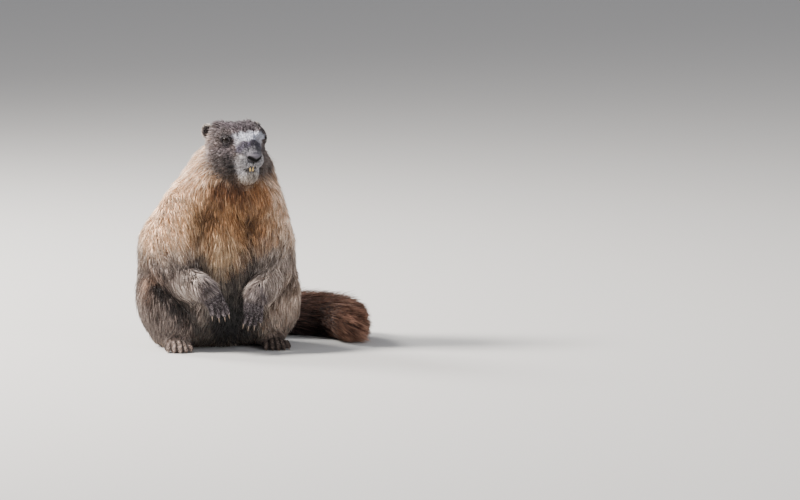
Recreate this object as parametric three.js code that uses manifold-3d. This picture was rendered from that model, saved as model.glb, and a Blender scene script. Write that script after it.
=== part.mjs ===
// Yellow-bellied marmot, life size, sitting upright with its forepaws hanging and its tail laid round
// its left side. Millimetres, +Z up. The animal faces -Y and its left side is +X. The origin is on the
// floor, in the middle of the flat that it sits on.
import * as THREE from "three";
import { mergeVertices } from "three/addons/utils/BufferGeometryUtils.js";
import Module from "manifold-3d";

const wasm = await Module();
wasm.setup();

// Driving sizes
const SITTING_HEIGHT = 298; // floor to crown, to the tips of the coat
const BODY_HALF_WIDTH = 90; // at the belly, without the thighs
const BODY_HALF_DEPTH = 84;
const HEAD_YAW = 14; // degrees that the head looks to its left
const HEAD_HALF_LENGTH = 44; // skull, without the muzzle
const HEAD_HALF_WIDTH = 34;
const EYE_RADIUS = 6.4;
const EAR_HEIGHT = 20;
const UPPER_ARM = 92;
const FOREARM = 60;
const FINGER = 19;
const HIND_FOOT = 86;
const TOE = 17;
const LIP_GROOVE = 1.3;
const FORE_CLAW = 12;
const HIND_CLAW = 10;
const TAIL_RADIUS = 29; // to the tips of its hair
const LEAN = 20; // how far the head's middle stands to the left of the seat's
const GAP = 0.4; // between pieces that meet
const SMOOTH = 0.2; // how far merging small triangles may move a surface

const DEG = Math.PI / 180;
const SIDES = { right: -1, left: 1 };
const point = (x, y, z) => new THREE.Vector3(x, y, z);
const mix = THREE.MathUtils.lerp;
const clamp = THREE.MathUtils.clamp;

// Soft masses: each is a function that gives a point's distance outside it, negative inside

// A turned ellipsoid. turn is in degrees about X, Y and Z.
function mass(at, radii, turn = point(0, 0, 0)) {
  const euler = new THREE.Euler(turn.x * DEG, turn.y * DEG, turn.z * DEG);
  const home = new THREE.Matrix4().makeRotationFromEuler(euler).setPosition(at).invert();
  return (p) => {
    const q = p.clone().applyMatrix4(home);
    const reach = Math.hypot(q.x / radii.x, q.y / radii.y, q.z / radii.z);
    const slope = Math.hypot(q.x / radii.x ** 2, q.y / radii.y ** 2, q.z / radii.z ** 2);
    return slope > 0 ? (reach * (reach - 1)) / slope : -Math.min(radii.x, radii.y, radii.z);
  };
}

// A tapered round bar from a to b.
function bar(a, b, radiusA, radiusB) {
  const axis = b.clone().sub(a);
  return (p) => {
    const t = clamp(p.clone().sub(a).dot(axis) / axis.lengthSq(), 0, 1);
    return p.distanceTo(a.clone().addScaledVector(axis, t)) - mix(radiusA, radiusB, t);
  };
}

// The masses run together, with a fillet of about that reach where they meet.
function blend(reach, ...masses) {
  return (p) =>
    masses
      .map((m) => m(p))
      .reduce((a, b) => {
        const near = Math.max(reach - Math.abs(a - b), 0) / reach;
        return Math.min(a, b) - (near * near * reach) / 4;
      });
}

// Geometry

// One closed mesh with its shared corners merged.
function closed(geometry) {
  const bare = new THREE.BufferGeometry();
  bare.setAttribute("position", geometry.getAttribute("position"));
  bare.setIndex(geometry.index);
  return mergeVertices(bare, 1e-4);
}

// Each corner of a capsule round the line from a to b moves in along its own spoke, until it meets
// the mass. With a and b at one place the capsule is a ball.
function wrap(body, a, b, geometry, grow = 0) {
  const far = 260;
  const axis = b.clone().sub(a);
  const place = geometry.getAttribute("position");
  for (let i = 0; i < place.count; i++) {
    const corner = new THREE.Vector3().fromBufferAttribute(place, i);
    const t = axis.lengthSq() > 0 ? clamp(corner.clone().sub(a).dot(axis) / axis.lengthSq(), 0, 1) : 0;
    const foot = a.clone().addScaledVector(axis, t);
    const spoke = corner.sub(foot).normalize();
    let out = far;
    for (let step = 0; step < 90; step++) {
      const gap = body(foot.clone().addScaledVector(spoke, out)) - grow;
      out = Math.max(out - gap * 0.7, 0.2);
      if (Math.abs(gap) < 0.005) break;
    }
    place.setXYZ(i, ...foot.addScaledVector(spoke, out).toArray());
  }
  return geometry;
}

function ball(body, centre, detail, grow = 0) {
  const geometry = closed(new THREE.IcosahedronGeometry(1, detail));
  geometry.translate(...centre.toArray());
  return solid(wrap(body, centre, centre, geometry, grow));
}

function sleeve(body, a, b, sides, rings, grow = 0) {
  const length = a.distanceTo(b);
  const cap = Math.max(2, Math.round(sides / 4));
  const geometry = closed(new THREE.CapsuleGeometry(1, length, cap, sides, rings));
  const turn = new THREE.Quaternion().setFromUnitVectors(point(0, 1, 0), b.clone().sub(a).normalize());
  geometry.applyQuaternion(turn);
  geometry.translate(...a.clone().add(b).multiplyScalar(0.5).toArray());
  return solid(wrap(body, a, b, geometry, grow));
}

// A geometry drawn round +Y from 0 to 1 is laid along a curve, its x across the curve and its z up.
function laid(geometry, curve) {
  const place = geometry.getAttribute("position");
  for (let i = 0; i < place.count; i++) {
    const share = clamp(place.getY(i), 0, 1);
    const at = curve.getPointAt(share);
    const along = curve.getTangentAt(share);
    const across = along.clone().cross(point(0, 0, 1)).normalize();
    const up = across.clone().cross(along);
    at.addScaledVector(across, place.getX(i)).addScaledVector(up, place.getZ(i));
    place.setXYZ(i, ...at.toArray());
  }
  return geometry;
}

// Solids

function solid(geometry) {
  const merged = closed(geometry);
  const made = new wasm.Manifold(
    new wasm.Mesh({
      numProp: 3,
      vertProperties: merged.getAttribute("position").array,
      triVerts: new Uint32Array(merged.index.array),
    }),
  );
  return made.volume() < 0 ? solid(flipped(merged)) : made;
}

function flipped(geometry) {
  const turned = geometry.clone();
  turned.index.array.reverse();
  return turned;
}

const fused = (...solids) => wasm.Manifold.union(solids);
const cutBy = (body, ...tools) => tools.reduce((left, tool) => left.subtract(tool), body);
const aboveFloor = (body) => body.trimByPlane([0, 0, 1], 0);

// A cut can leave a loose scrap, and fusing can seal a hollow: only the largest outer surface stays.
function largest(body) {
  return body.decompose().sort((a, b) => b.volume() - a.volume())[0];
}

// Draws that are the same on every run
function seeded(seed) {
  let state = seed;
  return () => {
    state = (state * 16807) % 2147483647;
    return state / 2147483647;
  };
}

const marmot = new THREE.Group();

function coat(colour, roughness = 0.9) {
  return new THREE.MeshStandardMaterial({ color: colour, roughness, metalness: 0 });
}

function add(name, body, material) {
  const whole = largest(largest(body).simplify(SMOOTH));
  const { vertProperties, triVerts } = whole.getMesh();
  const geometry = new THREE.BufferGeometry();
  geometry.setAttribute("position", new THREE.BufferAttribute(new Float32Array(vertProperties), 3));
  geometry.setIndex(new THREE.BufferAttribute(new Uint32Array(triVerts), 1));
  geometry.computeVertexNormals();
  const mesh = new THREE.Mesh(geometry, material);
  mesh.name = name;
  marmot.add(mesh);
  return whole;
}

const COLOURS = {
  back: coat(0xa58d78),
  mantle: coat(0xc9ad8d),
  face: coat(0x7d7068),
  arm: coat(0xa08a74),
  paw: coat(0x7c6c60),
  thigh: coat(0x86705f),
  toes: coat(0xc9b29c),
  tail: coat(0x54382a),
  nose: coat(0x4a4648, 0.6),
  eye: coat(0x14100e, 0.1),
  horn: coat(0x4b4038, 0.45),
  ivory: coat(0xe2c98c, 0.35),
};

// Trunk: belly, rump, chest, shoulders and neck run together, leaning a little to the left as they rise
const BELLY_Z = 0.28 * SITTING_HEIGHT;
const CHEST_Z = 0.455 * SITTING_HEIGHT;
const SHOULDER_Z = 0.655 * SITTING_HEIGHT;
const NECK_Z = 0.8 * SITTING_HEIGHT;
const RUMP_Z = 0.168 * SITTING_HEIGHT;

const trunk = blend(
  44,
  mass(point(-3, 8, BELLY_Z), point(BODY_HALF_WIDTH, BODY_HALF_DEPTH, 86)),
  mass(point(0, 36, RUMP_Z), point(0.88 * BODY_HALF_WIDTH, 64, RUMP_Z + 5)),
  mass(point(-9, 12, CHEST_Z), point(BODY_HALF_WIDTH, 72, 62)),
  mass(point(0.6 * LEAN, 10, SHOULDER_Z), point(64, 54, 42)),
  mass(point(1.1 * LEAN, 6, NECK_Z), point(49, 42, 40)),
);
const TRUNK_HEART = point(0, 8, 0.42 * SITTING_HEIGHT);

// Head

const HEAD_CENTRE = point(LEAN + 3, -18, 0.878 * SITTING_HEIGHT);
const HEAD_TURN = point(0, 0, HEAD_YAW);
const onHead = (side, front, up) =>
  point(side, -front, up)
    .applyAxisAngle(point(0, 0, 1), HEAD_YAW * DEG)
    .add(HEAD_CENTRE);
const headMass = (side, front, up, across, along, high, pitch = 0) =>
  mass(onHead(side, front, up), point(across, along, high), point(pitch, 0, HEAD_YAW));

const EYE = { front: 18, up: 12 };
const EAR = { front: -17, up: 20 };
const NOSE_UP = -6;
const MOUTH_UP = -24;

const both = (build) => Object.values(SIDES).map(build);
const skull = blend(
  12,
  headMass(0, -4, 4, HEAD_HALF_WIDTH, HEAD_HALF_LENGTH, 28),
  ...both((side) => headMass(side * 17, -10, 12.5, 20, 27, 21.5)),
  ...both((side) => headMass(side * 19, 10, 18, 13, 16, 12)),
  ...both((side) => headMass(side * 24, -1, -18, 20, 28, 20)),
  bar(onHead(0, 8, 10), onHead(0, 42, -5), 21, 12),
  headMass(0, 10, -29, 26, 24, 17),
);
const face = blend(
  6,
  skull,
  ...both((side) => headMass(side * 8, 38, -12, 11, 13, 10.5)),
  headMass(0, 28.5, -31, 14, 17, 14),
);
const HEAD_HEART = onHead(0, 10, -2);
const headSolid = (detail, grow = 0) => ball(face, HEAD_HEART, detail, grow);

// The place where a line first meets the face, and the way that the face looks there.
function onFace(from, towards) {
  const way = towards.clone().sub(from).normalize();
  const spot = from.clone();
  for (let step = 0; step < 60; step++) spot.addScaledVector(way, 0.8 * face(spot));
  const rise = (axis) => face(spot.clone().add(axis)) - face(spot.clone().sub(axis));
  const out = point(rise(point(1, 0, 0)), rise(point(0, 1, 0)), rise(point(0, 0, 1))).normalize();
  return { spot, out, inward: (depth) => spot.clone().addScaledVector(out, -depth) };
}
const offHead = (side, front, up) => onHead(side, front, up).sub(HEAD_CENTRE);

// Each eye, ear, the nose and the mouth are set from the place where they stand on the face.
const EYE_PROUD = 2.6;
const eyePlace = (side) =>
  onFace(onHead(side * 90, EYE.front + 40, EYE.up + 6), onHead(0, EYE.front - 8, EYE.up));
const eyeBall = (side, grow = 0) => {
  const geometry = new THREE.SphereGeometry(EYE_RADIUS + grow, 10, 7);
  geometry.translate(...eyePlace(side).inward(EYE_RADIUS - EYE_PROUD).toArray());
  return solid(geometry);
};

// The lids are one almond ring that hugs the eyeball.
function lids(side) {
  const place = eyePlace(side);
  const ring = new THREE.TorusGeometry(0.82 * EYE_RADIUS, 1.4, 4, 12);
  ring.scale(1.1, 0.92, 1);
  ring.applyQuaternion(new THREE.Quaternion().setFromUnitVectors(point(0, 0, 1), place.out));
  ring.translate(...place.inward(-0.2).toArray());
  return solid(ring);
}

const noseAt = onFace(onHead(0, 120, NOSE_UP), onHead(0, 0, NOSE_UP)).spot.add(offHead(0, -1.5, 0));
const NOSE = mass(noseAt, point(9, 6, 7.4), point(-12, 0, HEAD_YAW));
const noseSolid = (grow = 0) => ball(NOSE, noseAt, 2, grow);
function nostril(side) {
  const from = noseAt.clone().add(offHead(side * 2.4, 7, -4));
  const to = noseAt.clone().add(offHead(side * 8, 2.5, -1));
  return sleeve(bar(from, to, 1.9, 1.3), from, to, 8, 1);
}

// The lips part a little under the nose and show the two upper incisors.
const lip = onFace(onHead(0, 120, MOUTH_UP), onHead(0, 0, MOUTH_UP)).spot;
const mouthAt = lip.clone().add(offHead(0, -1.5, 0));
const mouthHollow = () => ball(mass(mouthAt, point(6.5, 6.5, 3.6), HEAD_TURN), mouthAt, 1);
function incisor(side, grow = 0) {
  const tooth = new THREE.CapsuleGeometry(1.7 + grow, 7, 2, 6);
  tooth.scale(1, 1, 0.7);
  tooth.rotateX(Math.PI / 2 - 0.12);
  tooth.translate(side * (1.7 + GAP / 2), 1.6, 2.2);
  tooth.rotateZ(HEAD_YAW * DEG);
  tooth.translate(...lip.toArray());
  return solid(tooth);
}

// The line of the mouth is a groove that runs from the parted lips back and down to both corners.
function mouthLine() {
  const steps = [-1, -0.6, -0.3, 0, 0.3, 0.6, 1];
  const along = steps.map((s) => {
    const up = MOUTH_UP - 1 - 2.5 * s * s;
    return onFace(onHead(s * 70, 120, up), onHead(s * 6, 0, up)).spot;
  });
  const section = new THREE.Shape(new THREE.EllipseCurve(0, 0, LIP_GROOVE, LIP_GROOVE).getPoints(5));
  const route = new THREE.CatmullRomCurve3(along);
  return solid(new THREE.ExtrudeGeometry(section, { steps: 12, curveSegments: 5, extrudePath: route }));
}

function earSolid(side) {
  const { spot } = onFace(onHead(side * 90, EAR.front, EAR.up), onHead(0, EAR.front, EAR.up));
  const rim = EAR_HEIGHT / 2;
  const at = spot.add(point(-side * 0.22 * rim, 0, 0.2 * rim));
  const turn = point(-18, side * 26, HEAD_YAW + side * 30);
  const shell = mass(at, point(0.82 * rim, 0.5 * rim, rim), turn);
  const cupAt = at.clone().add(offHead(side * 2, 4.6, 0.6));
  const cup = mass(cupAt, point(0.6 * rim, 0.42 * rim, 0.74 * rim), turn);
  return cutBy(ball(shell, at, 3), ball(cup, cupAt, 1));
}

// Limbs, each from its joints

const AIMS = {
  right: { upper: point(-0.26, -0.42, -0.86), fore: point(0.56, -0.8, -0.15), paw: point(0.5, -0.2, -0.84) },
  left: { upper: point(0.16, -0.4, -0.9), fore: point(-0.66, -0.72, -0.26), paw: point(-0.2, -0.2, -0.96) },
};
for (const pose of Object.values(AIMS)) {
  for (const aim of Object.values(pose)) aim.normalize();
}
const shoulder = (side) => point(side * 50 + 0.3 * LEAN, -12, 0.585 * SITTING_HEIGHT);
const elbow = (name) => shoulder(SIDES[name]).addScaledVector(AIMS[name].upper, UPPER_ARM);
const wrist = (name) => elbow(name).addScaledVector(AIMS[name].fore, FOREARM);

const upperArm = (name) =>
  blend(
    16,
    bar(shoulder(SIDES[name]), elbow(name), 30, 26),
    mass(mid(shoulder(SIDES[name]), elbow(name), 0.45), point(30, 30, 40)),
  );
const foreArm = (name) => bar(elbow(name), wrist(name), 23, 13);

function mid(a, b, share = 0.5) {
  return a.clone().lerp(b, share);
}

const hip = (side) => point(side * 59, 22, 0.19 * SITTING_HEIGHT);
const knee = (side) => point(side * 62, -36, 0.18 * SITTING_HEIGHT);
const heel = (side) => point(side * 62, 6, 17);
const toeRoot = (side) => point(side * 64.5, 6 - HIND_FOOT * 0.78, 7);

const thigh = (side) =>
  blend(
    20,
    mass(mid(hip(side), knee(side)).add(point(0, 0, 4)), point(40, 62, 53), point(0, 0, side * 4)),
    bar(hip(side), knee(side), 35, 35),
  );
const shank = (side) =>
  blend(14, bar(knee(side).add(point(0, 8, -28)), heel(side).add(point(side * 4, 6, 6)), 23, 22));
const footMass = (side) =>
  blend(
    8,
    bar(heel(side), toeRoot(side), 12, 8),
    mass(toeRoot(side).add(point(0, 6, 0)), point(15.5, 17, 7.5)),
  );

// Fingers and toes: the spread is in degrees off the paw's own aim, and each is a share of the length.
const FORE_DIGITS = [
  { across: -1, spread: -13, share: 0.86 },
  { across: -0.34, spread: -4, share: 1 },
  { across: 0.34, spread: 5, share: 0.98 },
  { across: 1, spread: 15, share: 0.8 },
];
const HIND_DIGITS = [
  { across: -1, spread: -15, share: 0.8 },
  { across: -0.5, spread: -7, share: 0.98 },
  { across: 0, spread: 0, share: 1.04 },
  { across: 0.5, spread: 8, share: 0.96 },
  { across: 1, spread: 17, share: 0.74 },
];

// A digit bends once: a first length that follows the aim, and a second one that drops towards the tip.
function digit(root, aim, drop, length, radius) {
  const joint = root.clone().addScaledVector(aim, length * 0.55);
  const tip = joint.clone().addScaledVector(aim.clone().lerp(drop, 0.5).normalize(), length * 0.45);
  return { root, joint, tip, radius, end: tip.clone().sub(joint).normalize() };
}

const digitSolid = (d, grow = 0) => {
  const near = bar(d.root, d.joint, d.radius, d.radius * 0.92);
  const far = bar(d.joint, d.tip, d.radius, d.radius * 0.8);
  return sleeve(blend(2, near, far), d.root, d.tip, 6, 2, grow);
};

// A claw is a cone that bends down along its length.
function claw(d, drop, length, width) {
  const cone = new THREE.ConeGeometry(width / 2, 1, 6, 3);
  cone.translate(0, 0.5, 0);
  cone.scale(0.8, 1, 1);
  const start = d.tip.clone().addScaledVector(d.end, -0.2 * length);
  const bend = start.clone().addScaledVector(d.end, length * 0.62);
  const end = bend.clone().addScaledVector(d.end.clone().lerp(drop, 0.55).normalize(), length * 0.6);
  const curve = new THREE.QuadraticBezierCurve3(start, bend, end);
  return solid(laid(closed(cone), curve));
}

const DOWN = point(0, 0, -1);

function foreDigits(name) {
  const side = SIDES[name];
  const aim = AIMS[name].paw;
  const across = point(side * 0.95, side * 0.25, 0).normalize();
  const knuckles = wrist(name).addScaledVector(aim, 19).add(point(0, -3, 0));
  return FORE_DIGITS.map((f) => {
    const root = knuckles.clone().addScaledVector(across, f.across * 9);
    const turned = aim.clone().addScaledVector(across, Math.tan(f.spread * DEG)).normalize();
    return digit(root, turned, point(0, 0.25, -1).normalize(), FINGER * f.share, 3.7);
  });
}
function palm(name) {
  const side = SIDES[name];
  const end = wrist(name).addScaledVector(AIMS[name].paw, 17).add(point(0, -2, 0));
  return blend(7, bar(wrist(name), end, 11, 9), mass(end, point(14, 8.5, 10), point(0, -side * 6, 0)));
}

function hindDigits(side) {
  return HIND_DIGITS.map((t) => {
    const root = toeRoot(side).add(point(side * t.across * 12, 2 + 3 * Math.abs(t.across), 0));
    const aim = point(side * Math.tan((t.spread + 4) * DEG), -1, 0.06).normalize();
    return digit(root, aim, point(0, -0.6, -0.8), TOE * t.share, 5);
  });
}

// Tail: a core along a curve on the floor, and locks of long hair that lie back over it out to the full
// radius. A few more fill the middle of the tip.
const tailCurve = new THREE.CatmullRomCurve3([
  point(16, 78, 30),
  point(62, 106, 29),
  point(112, 104, 28),
  point(156, 80, 28),
  point(174, 38, 28),
  point(173, 2, 28),
]);
const TAIL_CORE = 0.48; // share of the full radius
const TAIL_CLOSES = 0.94; // share of the length past which the hair draws in no further
const TAIL_LOCK = { rows: 8, around: 7, length: 56, width: 27, thick: 8 };
const TIP_LOCK = { count: 5, along: [0.84, 0.93, 1.02, 1.1], radii: [2, 8, 9, 6], width: 16 };
const LOCK_RISE = [0.36, 0.66, 0.88, 1]; // share of the full radius, along a lock from root to tip

// The full radius, which swells over the first third and rounds off to the tip
function tailRadius(share) {
  const root = mix(0.68, 1, Math.min(share / 0.35, 1));
  const end = Math.sqrt(Math.max(1 - (Math.max(share - 0.62, 0) / 0.38) ** 2.2, 0));
  return TAIL_RADIUS * root * end;
}

function tailCore() {
  const steps = 10;
  const profile = [];
  for (let i = 0; i <= steps; i++) {
    const inside = i > 0 && i < steps;
    profile.push(new THREE.Vector2(inside ? TAIL_CORE * tailRadius((0.9 * i) / steps) : 0, i / steps));
  }
  return solid(laid(closed(new THREE.LatheGeometry(profile, 8)), tailCurve));
}

// A place beside the tail's curve: out from it at an angle about it, and past its end in a straight line.
function besideTail(share, angle, radius) {
  const held = Math.min(share, 1);
  const along = tailCurve.getTangentAt(held);
  const across = along.clone().cross(point(0, 0, 1)).normalize();
  const up = across.clone().cross(along);
  const out = across.clone().multiplyScalar(Math.cos(angle)).addScaledVector(up, Math.sin(angle));
  const spot = tailCurve.getPointAt(held).addScaledVector(along, (share - held) * tailCurve.getLength());
  spot.addScaledVector(out, radius);
  spot.z = Math.max(spot.z, 1.5);
  return { spot, out };
}

// A flat tapered lock: three-sided with its ridge outward, widest near its root, bent along its own spine.
function lock(spine, out, width, thick, grow = 0) {
  const curve = new THREE.CatmullRomCurve3(spine);
  const leaf = closed(new THREE.ConeGeometry(1, 1, 3, 3));
  leaf.translate(0, 0.5, 0);
  const place = leaf.getAttribute("position");
  for (let i = 0; i < place.count; i++) {
    const share = clamp(place.getY(i), 0, 1);
    const girth = Math.sin(Math.PI * mix(0.25, 1, share));
    const unit = share < 1 ? 1 / (1 - share) : 0;
    const along = curve.getTangentAt(share);
    const across = along.clone().cross(out).normalize();
    const lift = across.clone().cross(along);
    const at = curve.getPointAt(share);
    at.addScaledVector(across, place.getX(i) * unit * (girth * (width / 2) + 2 * grow));
    at.addScaledVector(lift, place.getZ(i) * unit * (girth * (thick / 2) + 2 * grow));
    if (share === 1) at.addScaledVector(along, 6 * grow);
    place.setXYZ(i, ...at.toArray());
  }
  return solid(leaf);
}

function tailLocks() {
  const length = tailCurve.getLength();
  const draw = seeded(7);
  const locks = [];
  for (let row = 0; row < TAIL_LOCK.rows; row++) {
    for (let turn = 0; turn < TAIL_LOCK.around; turn++) {
      const share = mix(0.03, 0.93, row / (TAIL_LOCK.rows - 1)) + 0.02 * (draw() - 0.5);
      const angle = ((turn + 0.5 * (row % 2)) / TAIL_LOCK.around) * 2 * Math.PI + 0.25 * (draw() - 0.5);
      const size = mix(0.88, 1.1, draw());
      const span = (TAIL_LOCK.length * size) / length;
      const full = mix(0.92, 1.04, draw());
      const spine = LOCK_RISE.map((rise, i) => {
        const reached = share + (span * i) / (LOCK_RISE.length - 1);
        const radius = full * tailRadius(Math.min(reached, TAIL_CLOSES));
        return besideTail(reached, angle, rise * radius).spot;
      });
      const { out } = besideTail(share, angle, 1);
      const made = (grow) => lock(spine, out, TAIL_LOCK.width * size, TAIL_LOCK.thick, grow);
      locks.push({ share, end: share + span, made });
    }
  }
  for (let turn = 0; turn < TIP_LOCK.count; turn++) {
    const angle = ((turn + 0.5) / TIP_LOCK.count) * 2 * Math.PI;
    const spine = TIP_LOCK.along.map((share, i) => besideTail(share, angle, TIP_LOCK.radii[i]).spot);
    const { out } = besideTail(1, angle, 1);
    const made = (grow) => lock(spine, out, TIP_LOCK.width, TAIL_LOCK.thick, grow);
    locks.push({ share: TIP_LOCK.along[0], end: 1, made });
  }
  return locks;
}

// The tail's core is parted square to its curve, into lengths that bend little. Each length keeps the locks
// that are rooted in it whole, and the next length is cut clear of those that reach over it.
const TAIL_PARTINGS = [0, 0.34, 0.67, 1.5];
function tailLengths() {
  const core = tailCore();
  const locks = tailLocks();
  const cut = (body, share, way) => {
    const normal = tailCurve.getTangentAt(share).multiplyScalar(way);
    return body.trimByPlane(normal.toArray(), normal.dot(tailCurve.getPointAt(share)) + GAP);
  };
  return TAIL_PARTINGS.slice(1).map((to, i) => {
    const from = TAIL_PARTINGS[i];
    let inside = core;
    if (to < 1) inside = cut(inside, to, -1);
    const own = locks.filter((l) => l.share >= from && l.share < to).map((l) => l.made(0));
    let length = fused(inside, ...own);
    if (from > 0) length = cut(length, from, 1);
    const over = locks.filter((l) => l.share < from && l.end > from).map((l) => l.made(2 * GAP));
    return over.length > 0 ? length.subtract(fused(...over)) : length;
  });
}

// Assembly: each piece is cut clear of those that it grows from

const bodyFlesh = blend(
  26,
  trunk,
  ...Object.entries(SIDES).flatMap(([name, side]) => [upperArm(name), thigh(side)]),
);
const BODY_DETAIL = 9;
const whole = aboveFloor(ball(bodyFlesh, TRUNK_HEART, BODY_DETAIL));
const wholeGrown = ball(bodyFlesh, TRUNK_HEART, BODY_DETAIL, GAP);
const headRaw = headSolid(9);
const headGrown = headSolid(7, 1.8 * GAP);

// An arm or thigh is what its own cutter holds of the whole body, so that the coat runs on over the joint.
const REACH = 11; // how far a cutter stands outside its limb
const armCutter = (name, grow = 0) =>
  sleeve(upperArm(name), shoulder(SIDES[name]), elbow(name), 12, 3, REACH + grow);
const thighCutter = (side, grow = 0) => sleeve(thigh(side), hip(side), knee(side), 14, 2, REACH + grow);
const armCutters = (grow) => Object.keys(SIDES).map((name) => armCutter(name, grow));
const thighCutters = (grow) => Object.values(SIDES).map((side) => thighCutter(side, grow));

// The neck parts from the torso along a slanting plane behind the jaw and over the shoulders.
const NECK_CUT = point(0.12, 0.3, 1).normalize();
const NECK_CUT_AT = NECK_CUT.dot(point(0.6 * LEAN, 0, 0.72 * SITTING_HEIGHT));
const neckRaw = whole.trimByPlane(NECK_CUT.toArray(), NECK_CUT_AT + GAP / 2);
const torsoRaw = whole.trimByPlane(NECK_CUT.clone().negate().toArray(), -NECK_CUT_AT + GAP / 2);

add("torso", cutBy(torsoRaw, headGrown, ...armCutters(GAP), ...thighCutters(GAP)), COLOURS.back);
add("neck", cutBy(neckRaw, headGrown, ...armCutters(GAP)), COLOURS.mantle);

const hollows = [noseSolid(GAP), mouthHollow(), mouthLine()];
hollows.push(...both((side) => eyeBall(side, GAP)), ...both((side) => incisor(side, GAP)));
add("head", cutBy(fused(headRaw, ...both(lids)), ...hollows), COLOURS.face);
add("nose", cutBy(noseSolid(), nostril(-1), nostril(1)), COLOURS.nose);

for (const [name, side] of Object.entries(SIDES)) {
  add("eye_" + name, eyeBall(side), COLOURS.eye);
  add("incisor_" + name, incisor(side), COLOURS.ivory);
  add("ear_" + name, cutBy(earSolid(side), headGrown, wholeGrown), COLOURS.face);
  add("upper_arm_" + name, whole.intersect(armCutter(name)).subtract(headGrown), COLOURS.arm);
  const thighHeld = cutBy(whole.intersect(thighCutter(side)), armCutter(name, GAP));
  add("thigh_" + name, aboveFloor(thighHeld), COLOURS.thigh);

  const foreRaw = sleeve(foreArm(name), elbow(name), wrist(name), 12, 4);
  const foreGrown = sleeve(foreArm(name), elbow(name), wrist(name), 12, 4, GAP);
  add("forearm_" + name, cutBy(foreRaw, wholeGrown), COLOURS.arm);

  const fingers = foreDigits(name);
  const palmRaw = ball(palm(name), wrist(name).lerp(fingers[1].root, 0.6), 2);
  const handRaw = fused(palmRaw, ...fingers.map((f) => digitSolid(f)));
  add("hand_" + name, cutBy(handRaw, foreGrown, wholeGrown), COLOURS.paw);
  fingers.forEach((f, i) => {
    const horn = claw(f, point(0, 0.35, -1).normalize(), FORE_CLAW, 3.4);
    add("fore_claw_" + name + "_" + (i + 1), cutBy(horn, digitSolid(f, GAP), wholeGrown), COLOURS.horn);
  });

  const ankle = heel(side).add(point(side * 4, 6, 6));
  const shankTop = knee(side).add(point(0, 8, -28));
  const shankRaw = sleeve(shank(side), shankTop, ankle, 12, 3);
  const shankGrown = sleeve(shank(side), shankTop, ankle, 12, 3, GAP);
  add("shank_" + name, aboveFloor(cutBy(shankRaw, wholeGrown)), COLOURS.thigh);

  const toes = hindDigits(side);
  const soleRaw = sleeve(footMass(side), heel(side), toeRoot(side), 10, 4);
  const footRaw = fused(soleRaw, ...toes.map((t) => digitSolid(t)));
  add("foot_" + name, aboveFloor(cutBy(footRaw, shankGrown, wholeGrown)), COLOURS.toes);
  toes.forEach((t, i) => {
    const horn = claw(t, DOWN, HIND_CLAW, 4);
    add("hind_claw_" + name + "_" + (i + 1), aboveFloor(cutBy(horn, digitSolid(t, GAP))), COLOURS.horn);
  });
  if (name === "left") {
    const footGrown = sleeve(footMass(side), heel(side), toeRoot(side), 10, 4, GAP);
    tailLengths().forEach((length, i) => {
      add("tail_" + (i + 1), aboveFloor(cutBy(length, wholeGrown, shankGrown, footGrown)), COLOURS.tail);
    });
  }
}

export default marmot;
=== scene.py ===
# Yellow-bellied marmot, sitting upright: its skin, coat, face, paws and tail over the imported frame.
import math

import bmesh
import bpy
import numpy as np
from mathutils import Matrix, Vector
from mathutils.bvhtree import BVHTree
from mathutils.kdtree import KDTree


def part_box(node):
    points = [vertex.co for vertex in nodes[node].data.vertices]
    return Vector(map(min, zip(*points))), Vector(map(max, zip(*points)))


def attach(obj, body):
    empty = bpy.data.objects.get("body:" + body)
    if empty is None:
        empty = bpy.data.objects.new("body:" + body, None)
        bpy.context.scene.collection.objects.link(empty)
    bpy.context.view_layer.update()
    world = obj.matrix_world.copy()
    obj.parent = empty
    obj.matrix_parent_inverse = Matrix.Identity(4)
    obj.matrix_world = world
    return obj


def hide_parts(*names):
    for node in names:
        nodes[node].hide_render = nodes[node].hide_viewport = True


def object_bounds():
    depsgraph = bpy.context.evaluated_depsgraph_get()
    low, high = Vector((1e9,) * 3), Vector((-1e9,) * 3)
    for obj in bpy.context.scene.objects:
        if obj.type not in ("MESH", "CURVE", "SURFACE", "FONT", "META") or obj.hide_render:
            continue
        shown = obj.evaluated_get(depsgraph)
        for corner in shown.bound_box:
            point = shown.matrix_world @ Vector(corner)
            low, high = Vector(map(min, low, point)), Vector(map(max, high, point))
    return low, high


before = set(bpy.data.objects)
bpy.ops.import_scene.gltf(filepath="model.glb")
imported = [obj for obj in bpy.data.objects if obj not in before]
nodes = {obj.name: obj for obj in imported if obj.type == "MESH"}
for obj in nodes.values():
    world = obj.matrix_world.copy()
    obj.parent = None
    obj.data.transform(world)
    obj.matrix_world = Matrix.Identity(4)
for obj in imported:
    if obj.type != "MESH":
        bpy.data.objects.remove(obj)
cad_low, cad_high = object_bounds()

MM = 0.001
SIDES = {"right": -1, "left": 1}
scene = bpy.context.scene


# Camera: a long lens, low and a little to the animal's right

CAMERA = {"azimuth": -13, "elevation": 6, "distance": 8.0}  # degrees and metres
PICTURE = {"width": 1.056, "right": 0.2402, "up": 0.1258}  # metres across it, and where its middle is
SENSOR = 36  # millimetres
SIGHT = 60  # metres


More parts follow.
